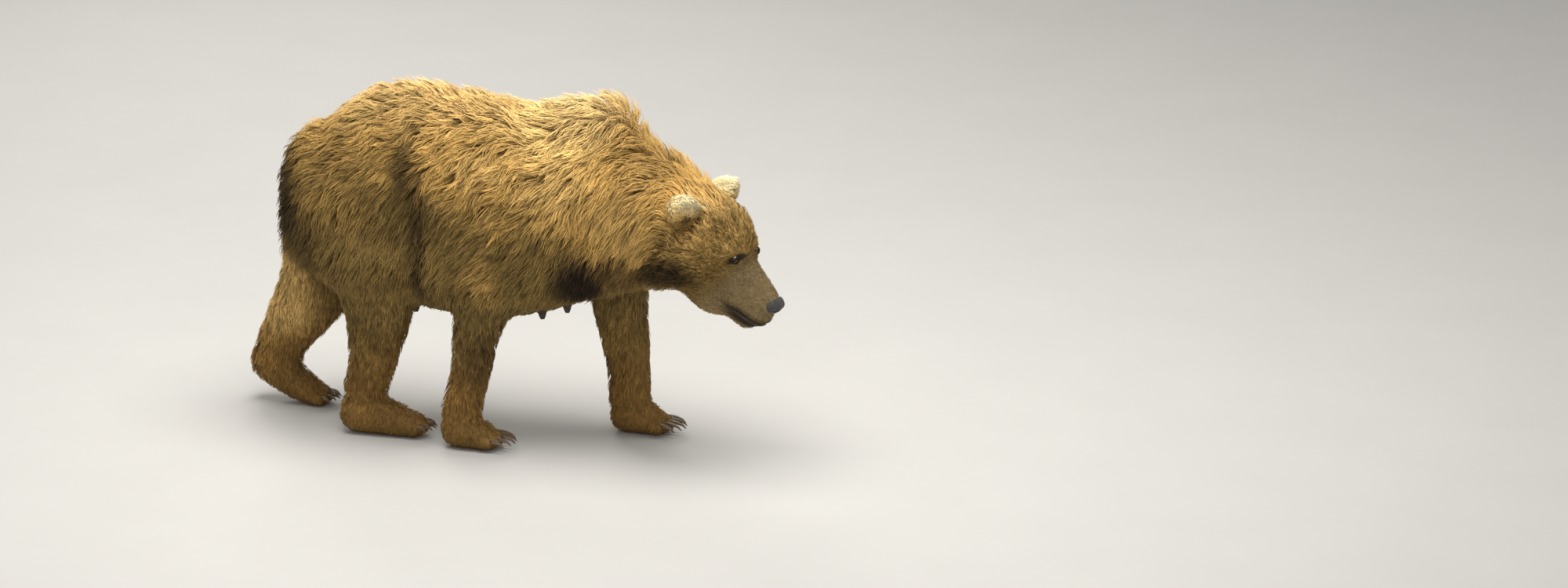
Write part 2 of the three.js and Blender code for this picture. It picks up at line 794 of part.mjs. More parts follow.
const headBack = behind(HEAD_CUT, -HALF_GAP);
const muzzlePlane = headPoint(MUZZLE_BACK, 0, 0);
const faceWay = (offset) => beyondPlane(muzzlePlane, FORWARD, offset);
const skullWay = (offset) => beyondPlane(muzzlePlane, mul(FORWARD, -1), offset);
const headLow = [1180, -330, 380];
const headHigh = [1500, 260, 980];
const ruff = RUFF_ROWS.flatMap(ruffRow);
const skullCore = between(
  drawn(core, headLow, headHigh, CELL.head),
  headBack,
  faceWay(-HALF_GAP),
);
const skull = coated(
  skullCore,
  ruff,
  [faceWay(-HALF_GAP)],
  [],
);

const neckLocks = NECK_ROWS.flatMap(trunkRow);
const headCutAhead = ahead(HEAD_CUT, -HALF_GAP);
const neck = coated(
  between(
    drawn(core, [1100, -260, 440], [1360, 240, 1000], CELL.neck),
    behind(NECK_CUT, -HALF_GAP),
    headCutAhead,
    legBlock("fore_left", HALF_GAP),
  ),
  neckLocks,
  [headCutAhead],
  [roomOf(ruff)],
);

const [foreLocks, barrelLocks, hindLocks] = Object.values(TRUNK_ROWS).map((rows) =>
  rows.flatMap(trunkRow),
);
const neckCutAhead = ahead(NECK_CUT, -HALF_GAP);
const chestCutAhead = aheadOfX(CHEST_CUT_X, -HALF_GAP);
const rumpCutAhead = aheadOfX(RUMP_CUT_X, -HALF_GAP);
const forequarters = coated(
  trunkPiece(CHEST_CUT_X, 1160, behindX(CHEST_CUT_X, -HALF_GAP), neckCutAhead),
  foreLocks,
  [neckCutAhead],
  [roomOf([...ruff, ...neckLocks])],
);
const barrel = coated(
  trunkPiece(RUMP_CUT_X, CHEST_CUT_X, behindX(RUMP_CUT_X, -HALF_GAP), chestCutAhead),
  barrelLocks,
  [chestCutAhead],
  [roomOf(foreLocks)],
);
const hindquarters = coated(
  trunkPiece(30, RUMP_CUT_X, rumpCutAhead),
  hindLocks,
  [rumpCutAhead],
  [roomOf([...foreLocks, ...barrelLocks])],
);
const trunkRoom = roomOf([...neckLocks, ...foreLocks, ...barrelLocks, ...hindLocks]);
const tailPiece = between(
  Manifold.union([
    drawn(tail, [30, -40, 600], [140, 40, 840], CELL.tail),
    ...TAIL_LOCKS.map(([across, length]) => tailLock(across, length)),
  ]),
  behind(TAIL_CUT, 0),
  grown(trunkPiece(30, RUMP_CUT_X, rumpCutAhead), GAP),
  trunkRoom,
);

// A lock of the tail hangs straight down behind it.
function tailLock(across, length) {
  const [x, , z] = TAIL.to;
  const stations = LOCK_STATIONS.map(([along, , share, thickness]) => ({
    at: [
      x - TAIL_LOCK.behind - TAIL_LOCK.bow * Math.sin(along * TAIL_LOCK.bow_turn),
      across * (0.5 + along),
      z + TAIL_LOCK.above - along * length,
    ],
    side: [0, -1, 0],
    up: [-1, 0, 0],
    width: TAIL_LOCK.width * share,
    height: thickness,
  }));
  return bar(stations, 4);
}

// ---------------------------------------------------------------- legs

const BOXES = {
  hind_left: [[-120, 0], [400, 300]],
  hind_right: [[220, -300], [580, 0]],
  fore_right: [[600, -320], [900, 0]],
  fore_left: [[900, 0], [1260, 320]],
};
const belowZ = (z, offset) => beyondPlane([0, 0, z], [0, 0, -1], offset);
const aboveZ = (z, offset) => beyondPlane([0, 0, z], [0, 0, 1], offset);

const floorToBelly = block([-FAR, -FAR, 0], [FAR, FAR, BELLY_CUT_Z - HALF_GAP]);

function upperLeg(name) {
  const [low, high] = BOXES[name];
  const whole = drawn(core, [...low, KNEE_Z], [...high, LEG_BLOCK[name][3]], CELL.leg);
  const kept = legBlock(name, -HALF_GAP).add(floorToBelly);
  return between(
    whole.intersect(kept),
    belowZ(KNEE_Z, -HALF_GAP),
    trunkRoom,
  );
}

function lowerLeg(name) {
  const [low, high] = BOXES[name];
  return between(
    drawn(legs[name], [...low, ANKLE_Z], [...high, KNEE_Z], CELL.shin),
    aboveZ(KNEE_Z, -HALF_GAP),
    belowZ(ANKLE_Z, -HALF_GAP),
  );
}

const isFore = (name) => name.startsWith("fore");
const pawSizes = (name) => (isFore(name) ? FOREPAW : HINDPAW);

// The middle of each toe, from her right to her left.
function toes(name) {
  const { spread, toe, reach } = pawSizes(name);
  const [x, y, z] = LEGS[name].foot[2];
  return Array.from({ length: TOES }, (_, i) => {
    const step = i - (TOES - 1) / 2;
    return [x + reach - TOE_ARC * step * step * 0.5, y + step * spread, z - 6 + toe[2] * 0.25];
  });
}

const floor = belowZ(0, 0);

function paw(name) {
  const [low, high] = BOXES[name];
  const foot = drawn(legs[name], [...low, 0], [...high, ANKLE_Z], CELL.paw);
  const balls = toes(name).map((at) => ellipsoid(at, pawSizes(name).toe, BODY_AXES, [7, 5]));
  const whole = Manifold.union([foot, ...balls]);
  return between(whole, aboveZ(ANKLE_Z, -HALF_GAP), floor);
}

// A claw curves forward and down from the top of its toe.
function claw(name, number, pawSolid) {
  const { toe, claw: length, claw_radius: radius } = pawSizes(name);
  const [x, y, z] = toes(name)[number];
  const { steps, start, curl, drop, tip, taper, lowest, flat } = CLAW;
  const splay = (number - (TOES - 1) / 2) * CLAW.splay;
  const points = Array.from({ length: steps + 1 }, (_, i) => {
    const t = i / steps;
    const forward = length * Math.sin(t * curl);
    return [
      x + toe[0] * start + forward,
      y + splay * forward,
      z + radius - drop * length * t * t,
    ];
  });
  const radii = points.map((_, i) => mix(radius, tip, (i / steps) ** taper));
  const kept = points.map((p, i) => [p[0], p[1], Math.max(p[2], radii[i] + lowest)]);
  return between(roundBar(kept, radii, 5, flat, BODY_AXES[2]), grown(pawSolid, GAP));
}

// ---------------------------------------------------------------- head

// Where the surface lies to one side of a point of the head's middle, moved out by `lift`.
function sidePoint(forward, side, up, lift = 0) {
  let [inner, outer] = [0, 200];
  for (let i = 0; i < HALVINGS; i += 1) {
    const middle = (inner + outer) / 2;
    if (head(headPoint(forward, side * middle, up)) < lift) inner = middle;
    else outer = middle;
  }
  return headPoint(forward, side * inner, up);
}

const mouthLine = sub([...MOUTH_FRONT, 0], [...MOUTH_BACK, 0]);
const mouthUp = headDirection(-mouthLine[1], 0, mouthLine[0]);
const mouthAt = headPoint(MOUTH_BACK[0], 0, MOUTH_BACK[1]);

// The line of the lips: round the muzzle, level with the mouth, from one corner to the other.
function lipLine(lift) {
  const along = headDirection(mouthLine[0], 0, mouthLine[1]);
  const middle = add(add(mouthAt, along, LIP.middle), UP, lift);
  return Array.from({ length: LIP.steps + 1 }, (_, i) => {
    const angle = mix(-LIP.turn, LIP.turn, i / LIP.steps);
    const way = add(mul(unit(along), Math.cos(angle)), LEFT, Math.sin(angle));
    let [inner, outer] = [0, 160];
    for (let n = 0; n < HALVINGS; n += 1) {
      const reach = (inner + outer) / 2;
      if (head(add(middle, way, reach)) < 1) inner = reach;
      else outer = reach;
    }
    return add(middle, way, inner);
  });
}

function lip(side) {
  const points = lipLine(side * (LIP.radius * LIP.flat + MOUTH_OPENING / 2));
  const radii = points.map((_, i) => {
    const t = Math.abs((2 * i) / LIP.steps - 1);
    return LIP.radius * mix(1, LIP.corner, t ** 3);
  });
  return roundBar(points, radii, BAR_SIDES, LIP.flat);
}

const noseSlab = block([NOSE.forward, -80, NOSE.chin_side], [NOSE.front, 80, NOSE.top]);
const toHead = new THREE.Matrix4().makeBasis(
  ...HEAD_AXES.map((axis) => new THREE.Vector3(...axis)),
);
toHead.setPosition(...HEAD_CENTRE);
const inHead = (solid) => solid.transform(toHead.elements);

const nose = largest(
  ellipsoid(headPoint(...NOSE.centre), NOSE.radii, HEAD_AXES, [11, 7])
    .intersect(inHead(noseSlab))
    .subtract(
      Manifold.union(
        [-1, 1].flatMap((s) => {
          const at = ([f, l, u]) => headPoint(f, s * l, u);
          return [
            ellipsoid(at(NOSTRIL.centre), NOSTRIL.radii, HEAD_AXES, [6, 4]),
            ellipsoid(at(NOSTRIL.slit), NOSTRIL.slit_radii, HEAD_AXES, [6, 4]),
          ];
        }),
      ),
    ),
);

const faceLow = [1360, -230, 380];
const faceHigh = [1730, 120, 800];

// The eye sits in the head with only its front showing.
const eyeCentre = (side) => sidePoint(EYE.forward, side, EYE.up, -EYE.depth);
const eye = (side) => ellipsoid(eyeCentre(side), mul([1, 1, 1], EYE.radius), HEAD_AXES, [10, 7]);

// Upper and lower lid, each a tapered crescent that hugs the ball.
function lids(side) {
  const centre = eyeCentre(side);
  const out = outward(head, centre);
  const along = unit(sub(FORWARD, mul(out, dot(FORWARD, out))));
  const over = cross(out, along);
  const upward = dot(over, UP) > 0 ? over : mul(over, -1);
  const [standing, less] = LID.forward;
  return [LID.height.upper, -LID.height.lower].map((height) => {
    const points = Array.from({ length: LID.steps + 1 }, (_, i) => {
      const angle = mix(-LID.past, Math.PI + LID.past, i / LID.steps);
      const wide = LID.reach * Math.cos(angle);
      const high = LID.reach * height * Math.max(Math.sin(angle), -0.1);
      const lifted = standing - less * Math.cos(angle) ** 2;
      return add(add(add(centre, along, wide), upward, high), out, lifted);
    });
    const radii = points.map((_, i) => LID.radius * mix(0.5, 1, Math.sin((Math.PI * i) / LID.steps)));
    return roundBar(points, radii, BAR_SIDES, 1, out);
  });
}

const eyes = { left: eye(1), right: eye(-1) };
const sockets = Manifold.union(Object.values(eyes).map((solid) => grown(solid, GAP)));

const mouthWay = (way, offset) => beyondPlane(mouthAt, mul(mouthUp, way), offset);
const lidRidges = Manifold.union([...lids(1), ...lids(-1)]);
const muzzle = between(
  Manifold.union([
    drawn(body, faceLow, faceHigh, CELL.muzzle).subtract(mouthWay(-1, -MOUTH_OPENING / 2)),
    lidRidges,
    lip(1),
  ]),
  skullWay(-HALF_GAP),
  mouthWay(-1, -MOUTH_OPENING / 2),
  inHead(block([NOSE.forward - GAP, -90, NOSE.chin_side - GAP], [NOSE.forward + 90, 90, 90])),
  sockets,
);
const lowerJaw = between(
  Manifold.union([
    drawn(body, faceLow, faceHigh, CELL.jaw).subtract(mouthWay(1, -MOUTH_OPENING / 2)),
    lip(-1),
  ]),
  skullWay(-HALF_GAP),
  mouthWay(1, -MOUTH_OPENING / 2),
);

// An ear is a round cup, its back sunk in the head.
function ear(side) {
  const { radius, depth, wall, flat, rim, turns, sides } = EAR;
  const outer = Array.from({ length: turns + 1 }, (_, i) => {
    const a = ((i / turns) * Math.PI) / 2;
    return new THREE.Vector2(Math.sin(a) * radius, -Math.cos(a) * depth);
  });
  const inner = Array.from({ length: turns }, (_, i) => {
    const a = ((1 - (i + 1) / turns) * Math.PI) / 2;
    return new THREE.Vector2(Math.sin(a) * (radius - wall), -Math.cos(a) * (depth - wall));
  });
  outer[0].x = 0;
  inner[turns - 1].x = 0;
  const edge = new THREE.Vector2(radius - wall / 2, wall * rim);
  const geometry = new THREE.LatheGeometry([...outer, edge, ...inner], sides);
  const opening = unit(headDirection(EAR.opening[0], side * EAR.opening[1], EAR.opening[2]));
  const across = unit(cross(UP, opening));
  const upright = cross(opening, across);
  const basis = new THREE.Matrix4().makeBasis(
    new THREE.Vector3(...across),
    new THREE.Vector3(...opening),
    new THREE.Vector3(...mul(upright, -1)),
  );
  geometry.scale(flat, 1, 1).applyMatrix4(basis);
  geometry.translate(...headPoint(EAR.centre[0], side * EAR.centre[1], EAR.centre[2]));
  return between(solidOf(geometry), grown(skullCore, GAP), roomOf([...ruff, ...neckLocks]));
}

// ---------------------------------------------------------------- the bear

const material = (color, roughness) =>
  new THREE.MeshStandardMaterial({ color, roughness, metalness: 0 });
const LOOKS = {
  golden: () => material(FUR.golden, 0.9),
  pale: () => material(FUR.pale, 0.9),
  brown: () => material(FUR.brown, 0.9),
  dark: () => material(FUR.dark, 0.85),
  nose: () => material("#1d1816", 0.45),
  eye: () => material("#1a100a", 0.15),
  claw: () => material("#4a3a2c", 0.4),
};

// A solid's faces as a geometry, its shortest edges drawn together where that keeps it closed.
const SHORTEST_EDGE = 0.06;
function geometryOfSolid(solid) {
  const { vertProperties, triVerts } = solid.getMesh();
  const triangles = [];
  for (let i = 0; i < triVerts.length; i += 3) triangles.push([...triVerts.slice(i, i + 3)]);
  const place = (v) => [...vertProperties.slice(3 * v, 3 * v + 3)];
  const around = new Map();
  const file = (triangle) =>
    triangle.forEach((v) => around.set(v, (around.get(v) || new Set()).add(triangle)));
  triangles.forEach(file);
  const neighbours = (v) => new Set([...around.get(v)].flat().filter((w) => w !== v));
  for (const triangle of triangles)
    for (let i = 0; i < 3; i += 1) {
      const [a, b] = [triangle[i], triangle[(i + 1) % 3]];
      const close = a !== b && Math.hypot(...sub(place(a), place(b))) < SHORTEST_EDGE;
      if (triangle.gone || !close) continue;
      const beside = neighbours(b);
      if ([...neighbours(a)].filter((v) => beside.has(v)).length !== 2) continue;
      for (const other of around.get(b)) {
        other[other.indexOf(b)] = a;
        if (other.filter((v) => v === a).length > 1) {
          other.gone = true;
          other.forEach((v) => around.get(v)?.delete(other));
        } else around.get(a).add(other);
      }
      around.delete(b);
    }
  const kept = triangles.filter((triangle) => !triangle.gone);
  const used = [...new Set(kept.flat())];
  const number = new Map(used.map((v, i) => [v, i]));
  const geometry = geometryOf(
    used.map(place),
    kept.map((triangle) => triangle.map((v) => number.get(v))),
  );
  geometry.computeVertexNormals();
  return geometry;
}

function named(name, solid, look) {
  const geometry = geometryOfSolid(solid);
  const mesh = new THREE.Mesh(geometry, LOOKS[look]());
  mesh.name = name;
  return mesh;
}

const bear = new THREE.Group();
bear.name = "grizzly_bear";

const headGroup = new THREE.Group();
headGroup.add(
  named("head", skull, "golden"),
  named("muzzle", muzzle, "brown"),
  named("lower_jaw", lowerJaw, "brown"),
  named("nose", nose, "nose"),
  named("eye_left", eyes.left, "eye"),
  named("eye_right", eyes.right, "eye"),
  named("ear_left", ear(1), "pale"),
  named("ear_right", ear(-1), "pale"),
);
bear.add(headGroup);
bear.add(
  named("neck", neck, "golden"),
  named("forequarters", forequarters, "golden"),
  named("barrel", barrel, "golden"),
  named("hindquarters", hindquarters, "golden"),
  named("tail", tailPiece, "dark"),
);
for (const name of Object.keys(LEGS)) {
  const leg = new THREE.Group();
  const pawSolid = paw(name);
  leg.add(
    named(`upper_leg_${name}`, upperLeg(name), "brown"),
    named(`lower_leg_${name}`, lowerLeg(name), "brown"),
    named(`paw_${name}`, pawSolid, "brown"),
  );
  for (let i = 0; i < TOES; i += 1)
    leg.add(named(`claw_${name}_${i + 1}`, claw(name, i, pawSolid), "claw"));
  bear.add(leg);
}

// The origin is under the middle of the bear, on the floor.
const middle = new THREE.Box3().setFromObject(bear).getCenter(new THREE.Vector3());
bear.position.set(-middle.x, -middle.y, 0);

export default bear;
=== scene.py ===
"""A life-size grizzly bear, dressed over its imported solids.

The bear's form is a field of round pieces that melt into each other, below 0 inside, in metres:
+X the way she walks, +Y her left, +Z up, the floor at 0. The skin is one closed mesh of that
field, and the coat is solid tapered tufts that are rooted in the skin and combed along its lie.
"""

import math

import bmesh
import bpy
import numpy as np
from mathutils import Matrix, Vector


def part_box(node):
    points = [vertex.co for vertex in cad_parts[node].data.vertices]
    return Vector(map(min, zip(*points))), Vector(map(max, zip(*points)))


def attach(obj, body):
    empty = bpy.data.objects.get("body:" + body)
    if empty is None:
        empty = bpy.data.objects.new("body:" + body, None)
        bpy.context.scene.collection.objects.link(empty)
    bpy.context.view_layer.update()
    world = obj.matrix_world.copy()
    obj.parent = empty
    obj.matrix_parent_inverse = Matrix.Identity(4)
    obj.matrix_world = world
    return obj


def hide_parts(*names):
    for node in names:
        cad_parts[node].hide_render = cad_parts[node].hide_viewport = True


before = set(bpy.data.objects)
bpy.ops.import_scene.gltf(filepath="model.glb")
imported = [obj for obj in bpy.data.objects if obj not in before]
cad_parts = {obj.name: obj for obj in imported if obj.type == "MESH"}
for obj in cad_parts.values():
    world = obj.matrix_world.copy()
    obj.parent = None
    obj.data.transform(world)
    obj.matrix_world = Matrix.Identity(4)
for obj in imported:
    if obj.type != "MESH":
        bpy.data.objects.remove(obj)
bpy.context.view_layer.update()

# ---------------------------------------------------------------- driving dimensions

# Sections of the trunk: x, top, bottom, half width, height of the widest place.
TRUNK = np.array([
    [0.200, 0.928, 0.450, 0.168, 0.680],
    [0.320, 1.025, 0.430, 0.205, 0.680],
    [0.450, 1.070, 0.400, 0.230, 0.660],
    [0.620, 1.056, 0.378, 0.250, 0.620],
    [0.780, 1.037, 0.380, 0.258, 0.610],
    [0.920, 1.020, 0.410, 0.245, 0.620],
    [1.030, 1.010, 0.450, 0.220, 0.640],
    [1.140, 0.965, 0.490, 0.180, 0.680],
])
BLUNTNESS = 2.25
RUMP_LENGTH = 0.145
CHEST_LENGTH = 0.120
# How softly each part melts into the body.
SOFTNESS = {"hump": 0.080, "nape": 0.030, "shoulder": 0.050, "neck": 0.050, "neck_parts": 0.020,
            "head": 0.030, "leg": 0.040, "foot": 0.030, "toe": 0.007, "tail": 0.020}

# Round cones: from, to, their two radii, width as a share of height.
HUMP = ([0.975, 0, 0.950], [1.080, 0, 0.962], 0.108, 0.122, 0.95)
NAPE = ([1.090, 0, 0.928], [1.250, -0.010, 0.848], 0.115, 0.085, 0.90)
NECK = (
    ([1.060, 0, 0.745], [1.240, -0.015, 0.714], 0.238, 0.205, 0.88),
    ([1.240, -0.015, 0.714], [1.350, -0.035, 0.683], 0.205, 0.162, 0.95),
)
TAIL = ([0.115, 0, 0.800], [0.072, 0, 0.660], 0.034, 0.024, 1)
SHOULDERS = ([0.910, -0.145, 0.680], [0.980, 0.145, 0.680])
SHOULDER_RADII = [0.150, 0.100, 0.220]

HEAD_CENTRE = np.array([1.403, -0.050, 0.800])
HEAD_YAW = math.radians(13)
HEAD_PITCH = math.radians(46.5)
# From these x on, points are near the head, or on it.
HEAD_BACK = 1.10
HEAD_FROM = 1.25
FACE_FROM = 1.30
# The head's forms in its own frame (forward, left, up) and in the order in which they melt
# together. Each has its softness, then a ball's centre and radii, or a cone's two ends, their
# radii, and its width as a share of its height.
SKULL = ((0.045, 0, -0.035), [0.125, 0.115, 0.110])
HEAD_FORMS = (
    (0.030, (0.135, 0, -0.020), [0.080, 0.082, 0.084]),  # forehead
    (0.030, (0.200, 0, -0.052), (0.345, 0, -0.041), 0.062, 0.044, 1.1),  # bridge of the muzzle
    (0.015, (0.374, 0, -0.022), [0.020, 0.030, 0.023]),  # end of the muzzle
    (0.020, (0.245, 0, -0.088), (0.363, 0, -0.080), 0.056, 0.041, 1.08),  # upper lip
    (0.025, (0.100, 0, -0.156), (0.345, 0, -0.126), 0.076, 0.037, 1.1),  # lower jaw
    (0.030, (0.190, 0, -0.174), [0.105, 0.070, 0.066]),  # throat
)
HEAD_SIDES = (
    (0.040, (0.085, 0.075, -0.085), [0.110, 0.070, 0.095]),  # cheek
    (0.040, (0.020, 0.070, -0.140), [0.110, 0.090, 0.120]),  # jowl
    (0.030, (0.200, 0.030, 0), (0.175, 0.062, -0.010), 0.022, 0.025, 1),  # brow
)

# Legs from hip or shoulder down: x, y, z, fore-and-aft radius, width as a share of it.
LEGS = {
    "hind_left": (
        [[0.270, 0.100, 0.700, 0.200, 0.62], [0.190, 0.125, 0.520, 0.160, 0.72],
         [0.092, 0.128, 0.340, 0.115, 0.80], [0.012, 0.125, 0.210, 0.084, 0.85],
         [-0.012, 0.122, 0.150, 0.077, 0.90]],
        [[-0.034, 0.122, 0.115, 0.062, 1.0], [0.040, 0.122, 0.066, 0.055, 1.0],
         [0.115, 0.122, 0.026, 0.038, 1.3]],
    ),
    "hind_right": (
        [[0.310, -0.100, 0.700, 0.200, 0.66], [0.395, -0.125, 0.500, 0.138, 0.75],
         [0.400, -0.120, 0.350, 0.100, 0.80], [0.375, -0.105, 0.220, 0.078, 0.85],
         [0.355, -0.100, 0.150, 0.072, 0.90]],
        [[0.335, -0.100, 0.062, 0.066, 1.0], [0.420, -0.100, 0.052, 0.056, 1.1],
         [0.505, -0.100, 0.034, 0.040, 1.3]],
    ),
    "fore_right": (
        [[0.830, -0.140, 0.720, 0.180, 0.60], [0.765, -0.155, 0.530, 0.112, 0.78],
         [0.725, -0.155, 0.360, 0.076, 0.95], [0.705, -0.150, 0.240, 0.064, 1.00],
         [0.675, -0.150, 0.120, 0.062, 1.05]],
        [[0.668, -0.150, 0.052, 0.058, 1.0], [0.710, -0.150, 0.046, 0.052, 1.2],
         [0.755, -0.150, 0.032, 0.038, 1.4]],
    ),
    "fore_left": (
        [[1.000, 0.140, 0.720, 0.180, 0.60], [1.050, 0.155, 0.530, 0.115, 0.78],
         [1.068, 0.155, 0.380, 0.086, 0.95], [1.090, 0.155, 0.220, 0.068, 1.00],
         [1.095, 0.155, 0.120, 0.064, 1.05]],
        [[1.093, 0.155, 0.052, 0.058, 1.0], [1.140, 0.155, 0.046, 0.052, 1.2],
         [1.185, 0.155, 0.032, 0.038, 1.4]],
    ),
}
LIMB_STEPS = 4
TOES = 5
TOE_ARC = 0.0045  # how far a toe one step from the middle stands back
TOE_DROP = 0.006
# Across step between toes, the toe's radii, and how far it reaches past the foot.
PAWS = {
    "fore": (0.024, [0.030, 0.015, 0.021], 0.024),
    "hind": (0.021, [0.027, 0.013, 0.019], 0.026),
}
FLOOR_CLEAR = 0.0005

# Face, in the head's frame: forward, up.
EYE = {"forward": 0.206, "up": -0.002, "radius": 0.0125, "depth": 0.007, "limit": 0.2}
MOUTH_BACK = (0.262, -0.137)
MOUTH_FRONT = (0.406, -0.095)
MOUTH_GROOVE = (0.009, 0.0032)  # depth, half width
NOSE = {
    "forward": 0.368,
    "front": 0.399,
    "top": 0.001,
    "chin_side": -0.046,
    "centre": (0.372, 0, -0.022),
    "radii": [0.031, 0.034, 0.029],
    "softness": 0.010,
    "back": 0.362,
    "back_softness": 0.004,
    "nostril_softness": 0.002,
    "room": 0.045,
    "cell": 0.0017,
}
# The groove down the nose's middle: depth, half width, and the heights between which it fades.
NOSE_GROOVE = {"depth": 0.003, "width": 0.0016, "fade": (-0.022, -0.012)}
NOSTRIL = ((0.394, 0.013, -0.019), [0.011, 0.006, 0.0075])
NOSTRIL_SLIT = ((0.396, 0.021, -0.025), [0.009, 0.007, 0.003])
EAR = {
    "centre": (0.014, 0.123, -0.008),
    "radius": 0.042,
    "depth": 0.035,
    "cup": 0.023,  # radius of its hollow
    "cup_low": 0.012,  # how far the hollow lies below the ear's middle
    "cup_depth": 0.024,
    "rim": 0.012,  # how softly it is rounded
    "face": 0.012,  # how far its open face lies ahead of its middle
    "opening": (0.82, 0.36, 0.38),  # the way the cup faces
    "cell": 0.004,
    "room": 0.10,
}
# An ear's stem: where it starts behind the ear's middle, and its foot, forward, inward and down
# from that middle.
EAR_STEM = {
    "back": 0.018, "foot": (-0.010, 0.060, 0.045), "radii": (0.032, 0.045), "softness": 0.012,
}
# The painted shadow under each brow, a dark streak through the eye: its radii across it, along it
# and into the head, and how far its middle lies along it from the eye's.
BROW_SHADOW_RADII = (0.014, 0.050, 0.045)
STREAK_LIFT = 0.009
STREAK_WAY = (0.22, -0.20, 0.95)
EYE_BARE = (0.0075, 0.0200, 0.030)  # radii of the place along the streak with no fur
BROW = ((0.200, 0.026, 0.036), (0.028, 0.036, 0.022))  # where the brow's fur stands up

# The coat: how deep it is over the skin.
LONG_DEPTH = 0.054
LONG_ENDS_Z = (0.430, 0.640)
LONG_ENDS_FACE = (0.010, 0.120)
SHORT_DEPTH = 0.012
FACE_DEPTH = 0.004
PAW_DEPTH = 0.004

# Waves of the coat's slow changes: radians for each metre along x, y and z, and the phase.
DRIFT_WAVES = (
    ((38, 11, 17), 0.3),
    ((-19, 35, 29), 2.1),
    ((27, -23, 41), 4.4),
    ((-47, -9, 13), 1.2),
    ((9, 49, -25), 5.3),
)

# The fold of skin before each thigh: x and z of its foot and head, depth, half width.
FLANK_FOLD = {"x": (0.560, 0.575), "z": (0.420, 0.900), "depth": 0.020, "width": 0.013}
FOLD_SWAY = (0.010, 5)  # how far it bends fore and aft, and radians of that bend along it

# ---------------------------------------------------------------- vectors and curves


def unit(v):
    return v / np.maximum(np.linalg.norm(v, axis=-1, keepdims=True), 1e-12)


def dot(a, b):
    return (a * b).sum(-1, keepdims=True)


def mix(a, b, t):
    return a + (b - a) * t


def ramp(v, start, end):
    t = np.clip((v - start) / (end - start), 0, 1)
    return t * t * (3 - 2 * t)


def curve(x, xs, ys):
    """A cubic curve through (xs, ys), held at its ends."""
    xs, ys = np.asarray(xs, float), np.asarray(ys, float)
    slope = np.gradient(ys, xs)
    i = np.clip(np.searchsorted(xs, x) - 1, 0, len(xs) - 2)
    h = xs[i + 1] - xs[i]
    t = np.clip((x - xs[i]) / h, 0, 1)
    r = 1 - t
    return (
        (1 + 2 * t) * r * r * ys[i]
        + t * r * r * h * slope[i]
        + t * t * (3 - 2 * t) * ys[i + 1]
        - t * t * r * h * slope[i + 1]
    )


FORWARD = np.array([
    math.cos(HEAD_PITCH) * math.cos(HEAD_YAW),
    -math.cos(HEAD_PITCH) * math.sin(HEAD_YAW),
    -math.sin(HEAD_PITCH),
])
LEFT = np.array([math.sin(HEAD_YAW), math.cos(HEAD_YAW), 0])
UP = np.cross(FORWARD, LEFT)
HEAD_AXES = np.array([FORWARD, LEFT, UP])


def head_point(f, s, u):
    return HEAD_CENTRE + f * FORWARD + s * LEFT + u * UP


def in_head(p):
    """Points in the head's own frame: forward, left, up."""
    return (p - HEAD_CENTRE) @ HEAD_AXES.T


def ahead(p):
    """How far ahead of the head's centre points lie."""
    return (p - HEAD_CENTRE) @ FORWARD


def one_side(p):
    """The points, with those on the right mirrored to the left."""
    return np.stack([p[:, 0], np.abs(p[:, 1]), p[:, 2]], 1)


# ---------------------------------------------------------------- the field of the body


def melt(a, b, k):
    h = np.clip(0.5 + 0.5 * (b - a) / k, 0, 1)
    return mix(b, a, h) - k * h * (1 - h)


def cone(p, start, end, r0, r1, share=1, side=(0, 1, 0)):
    side = np.asarray(side, float)
    start, line = np.asarray(start, float), np.subtract(end, start).astype(float)
    widen = 1 / share - 1
    q = p - start
    q = q + np.outer(q @ side, side) * widen
    line = line + side * (line @ side) * widen
    t = np.clip(q @ line / (line @ line), 0, 1)
    reach = np.linalg.norm(q - t[:, None] * line, axis=1)
    return (reach - mix(r0, r1, t)) * math.sqrt(min(share, 1))


def ball(p, centre, radii, axes=None):
    q = p - np.asarray(centre, float)
    if axes is not None:
        q = q @ axes.T
    radii = np.asarray(radii, float)
    reach = np.linalg.norm(q / radii, axis=1)
    slope = np.linalg.norm(q / radii**2, axis=1)
    return reach * (reach - 1) / np.maximum(slope, 1e-9)


def trunk(p):
    x = p[:, 0]
    at = np.clip(x, TRUNK[0, 0], TRUNK[-1, 0])
    top, bottom, half_width, waist = (curve(at, TRUNK[:, 0], ys) for ys in TRUNK.T[1:])
    rise = p[:, 2] - waist
    height = np.where(rise > 0, top - waist, waist - bottom)
    beyond = np.where(x < at, (at - x) / RUMP_LENGTH, (x - at) / CHEST_LENGTH)
    n = BLUNTNESS
    rho = (np.abs(rise / height) ** n + np.abs(p[:, 1] / half_width) ** n + beyond**n) ** (1 / n)
    reach = np.sqrt(rise**2 + p[:, 1] ** 2 + (x - at) ** 2)
    at_middle = -np.minimum(height, half_width)
    return np.where(rho > 1e-6, reach * (1 - 1 / np.maximum(rho, 1e-6)), at_middle)


def head_form(p, form, side=1):
    """One of the head's forms, or its mirror image: a ball, or a round cone between two ends."""
    if len(form) == 2:
        (f, s, u), radii = form
        return ball(p, head_point(f, side * s, u), radii, HEAD_AXES)
    start, end = (head_point(f, side * s, u) for f, s, u in form[:2])
    return cone(p, start, end, *form[2:], LEFT)


def head(p):
    d = head_form(p, SKULL)
    for softness, *form in HEAD_FORMS:
        d = melt(d, head_form(p, form), softness)
    for side in (-1, 1):
        for softness, *form in HEAD_SIDES:
            d = melt(d, head_form(p, form, side), softness)
    return d


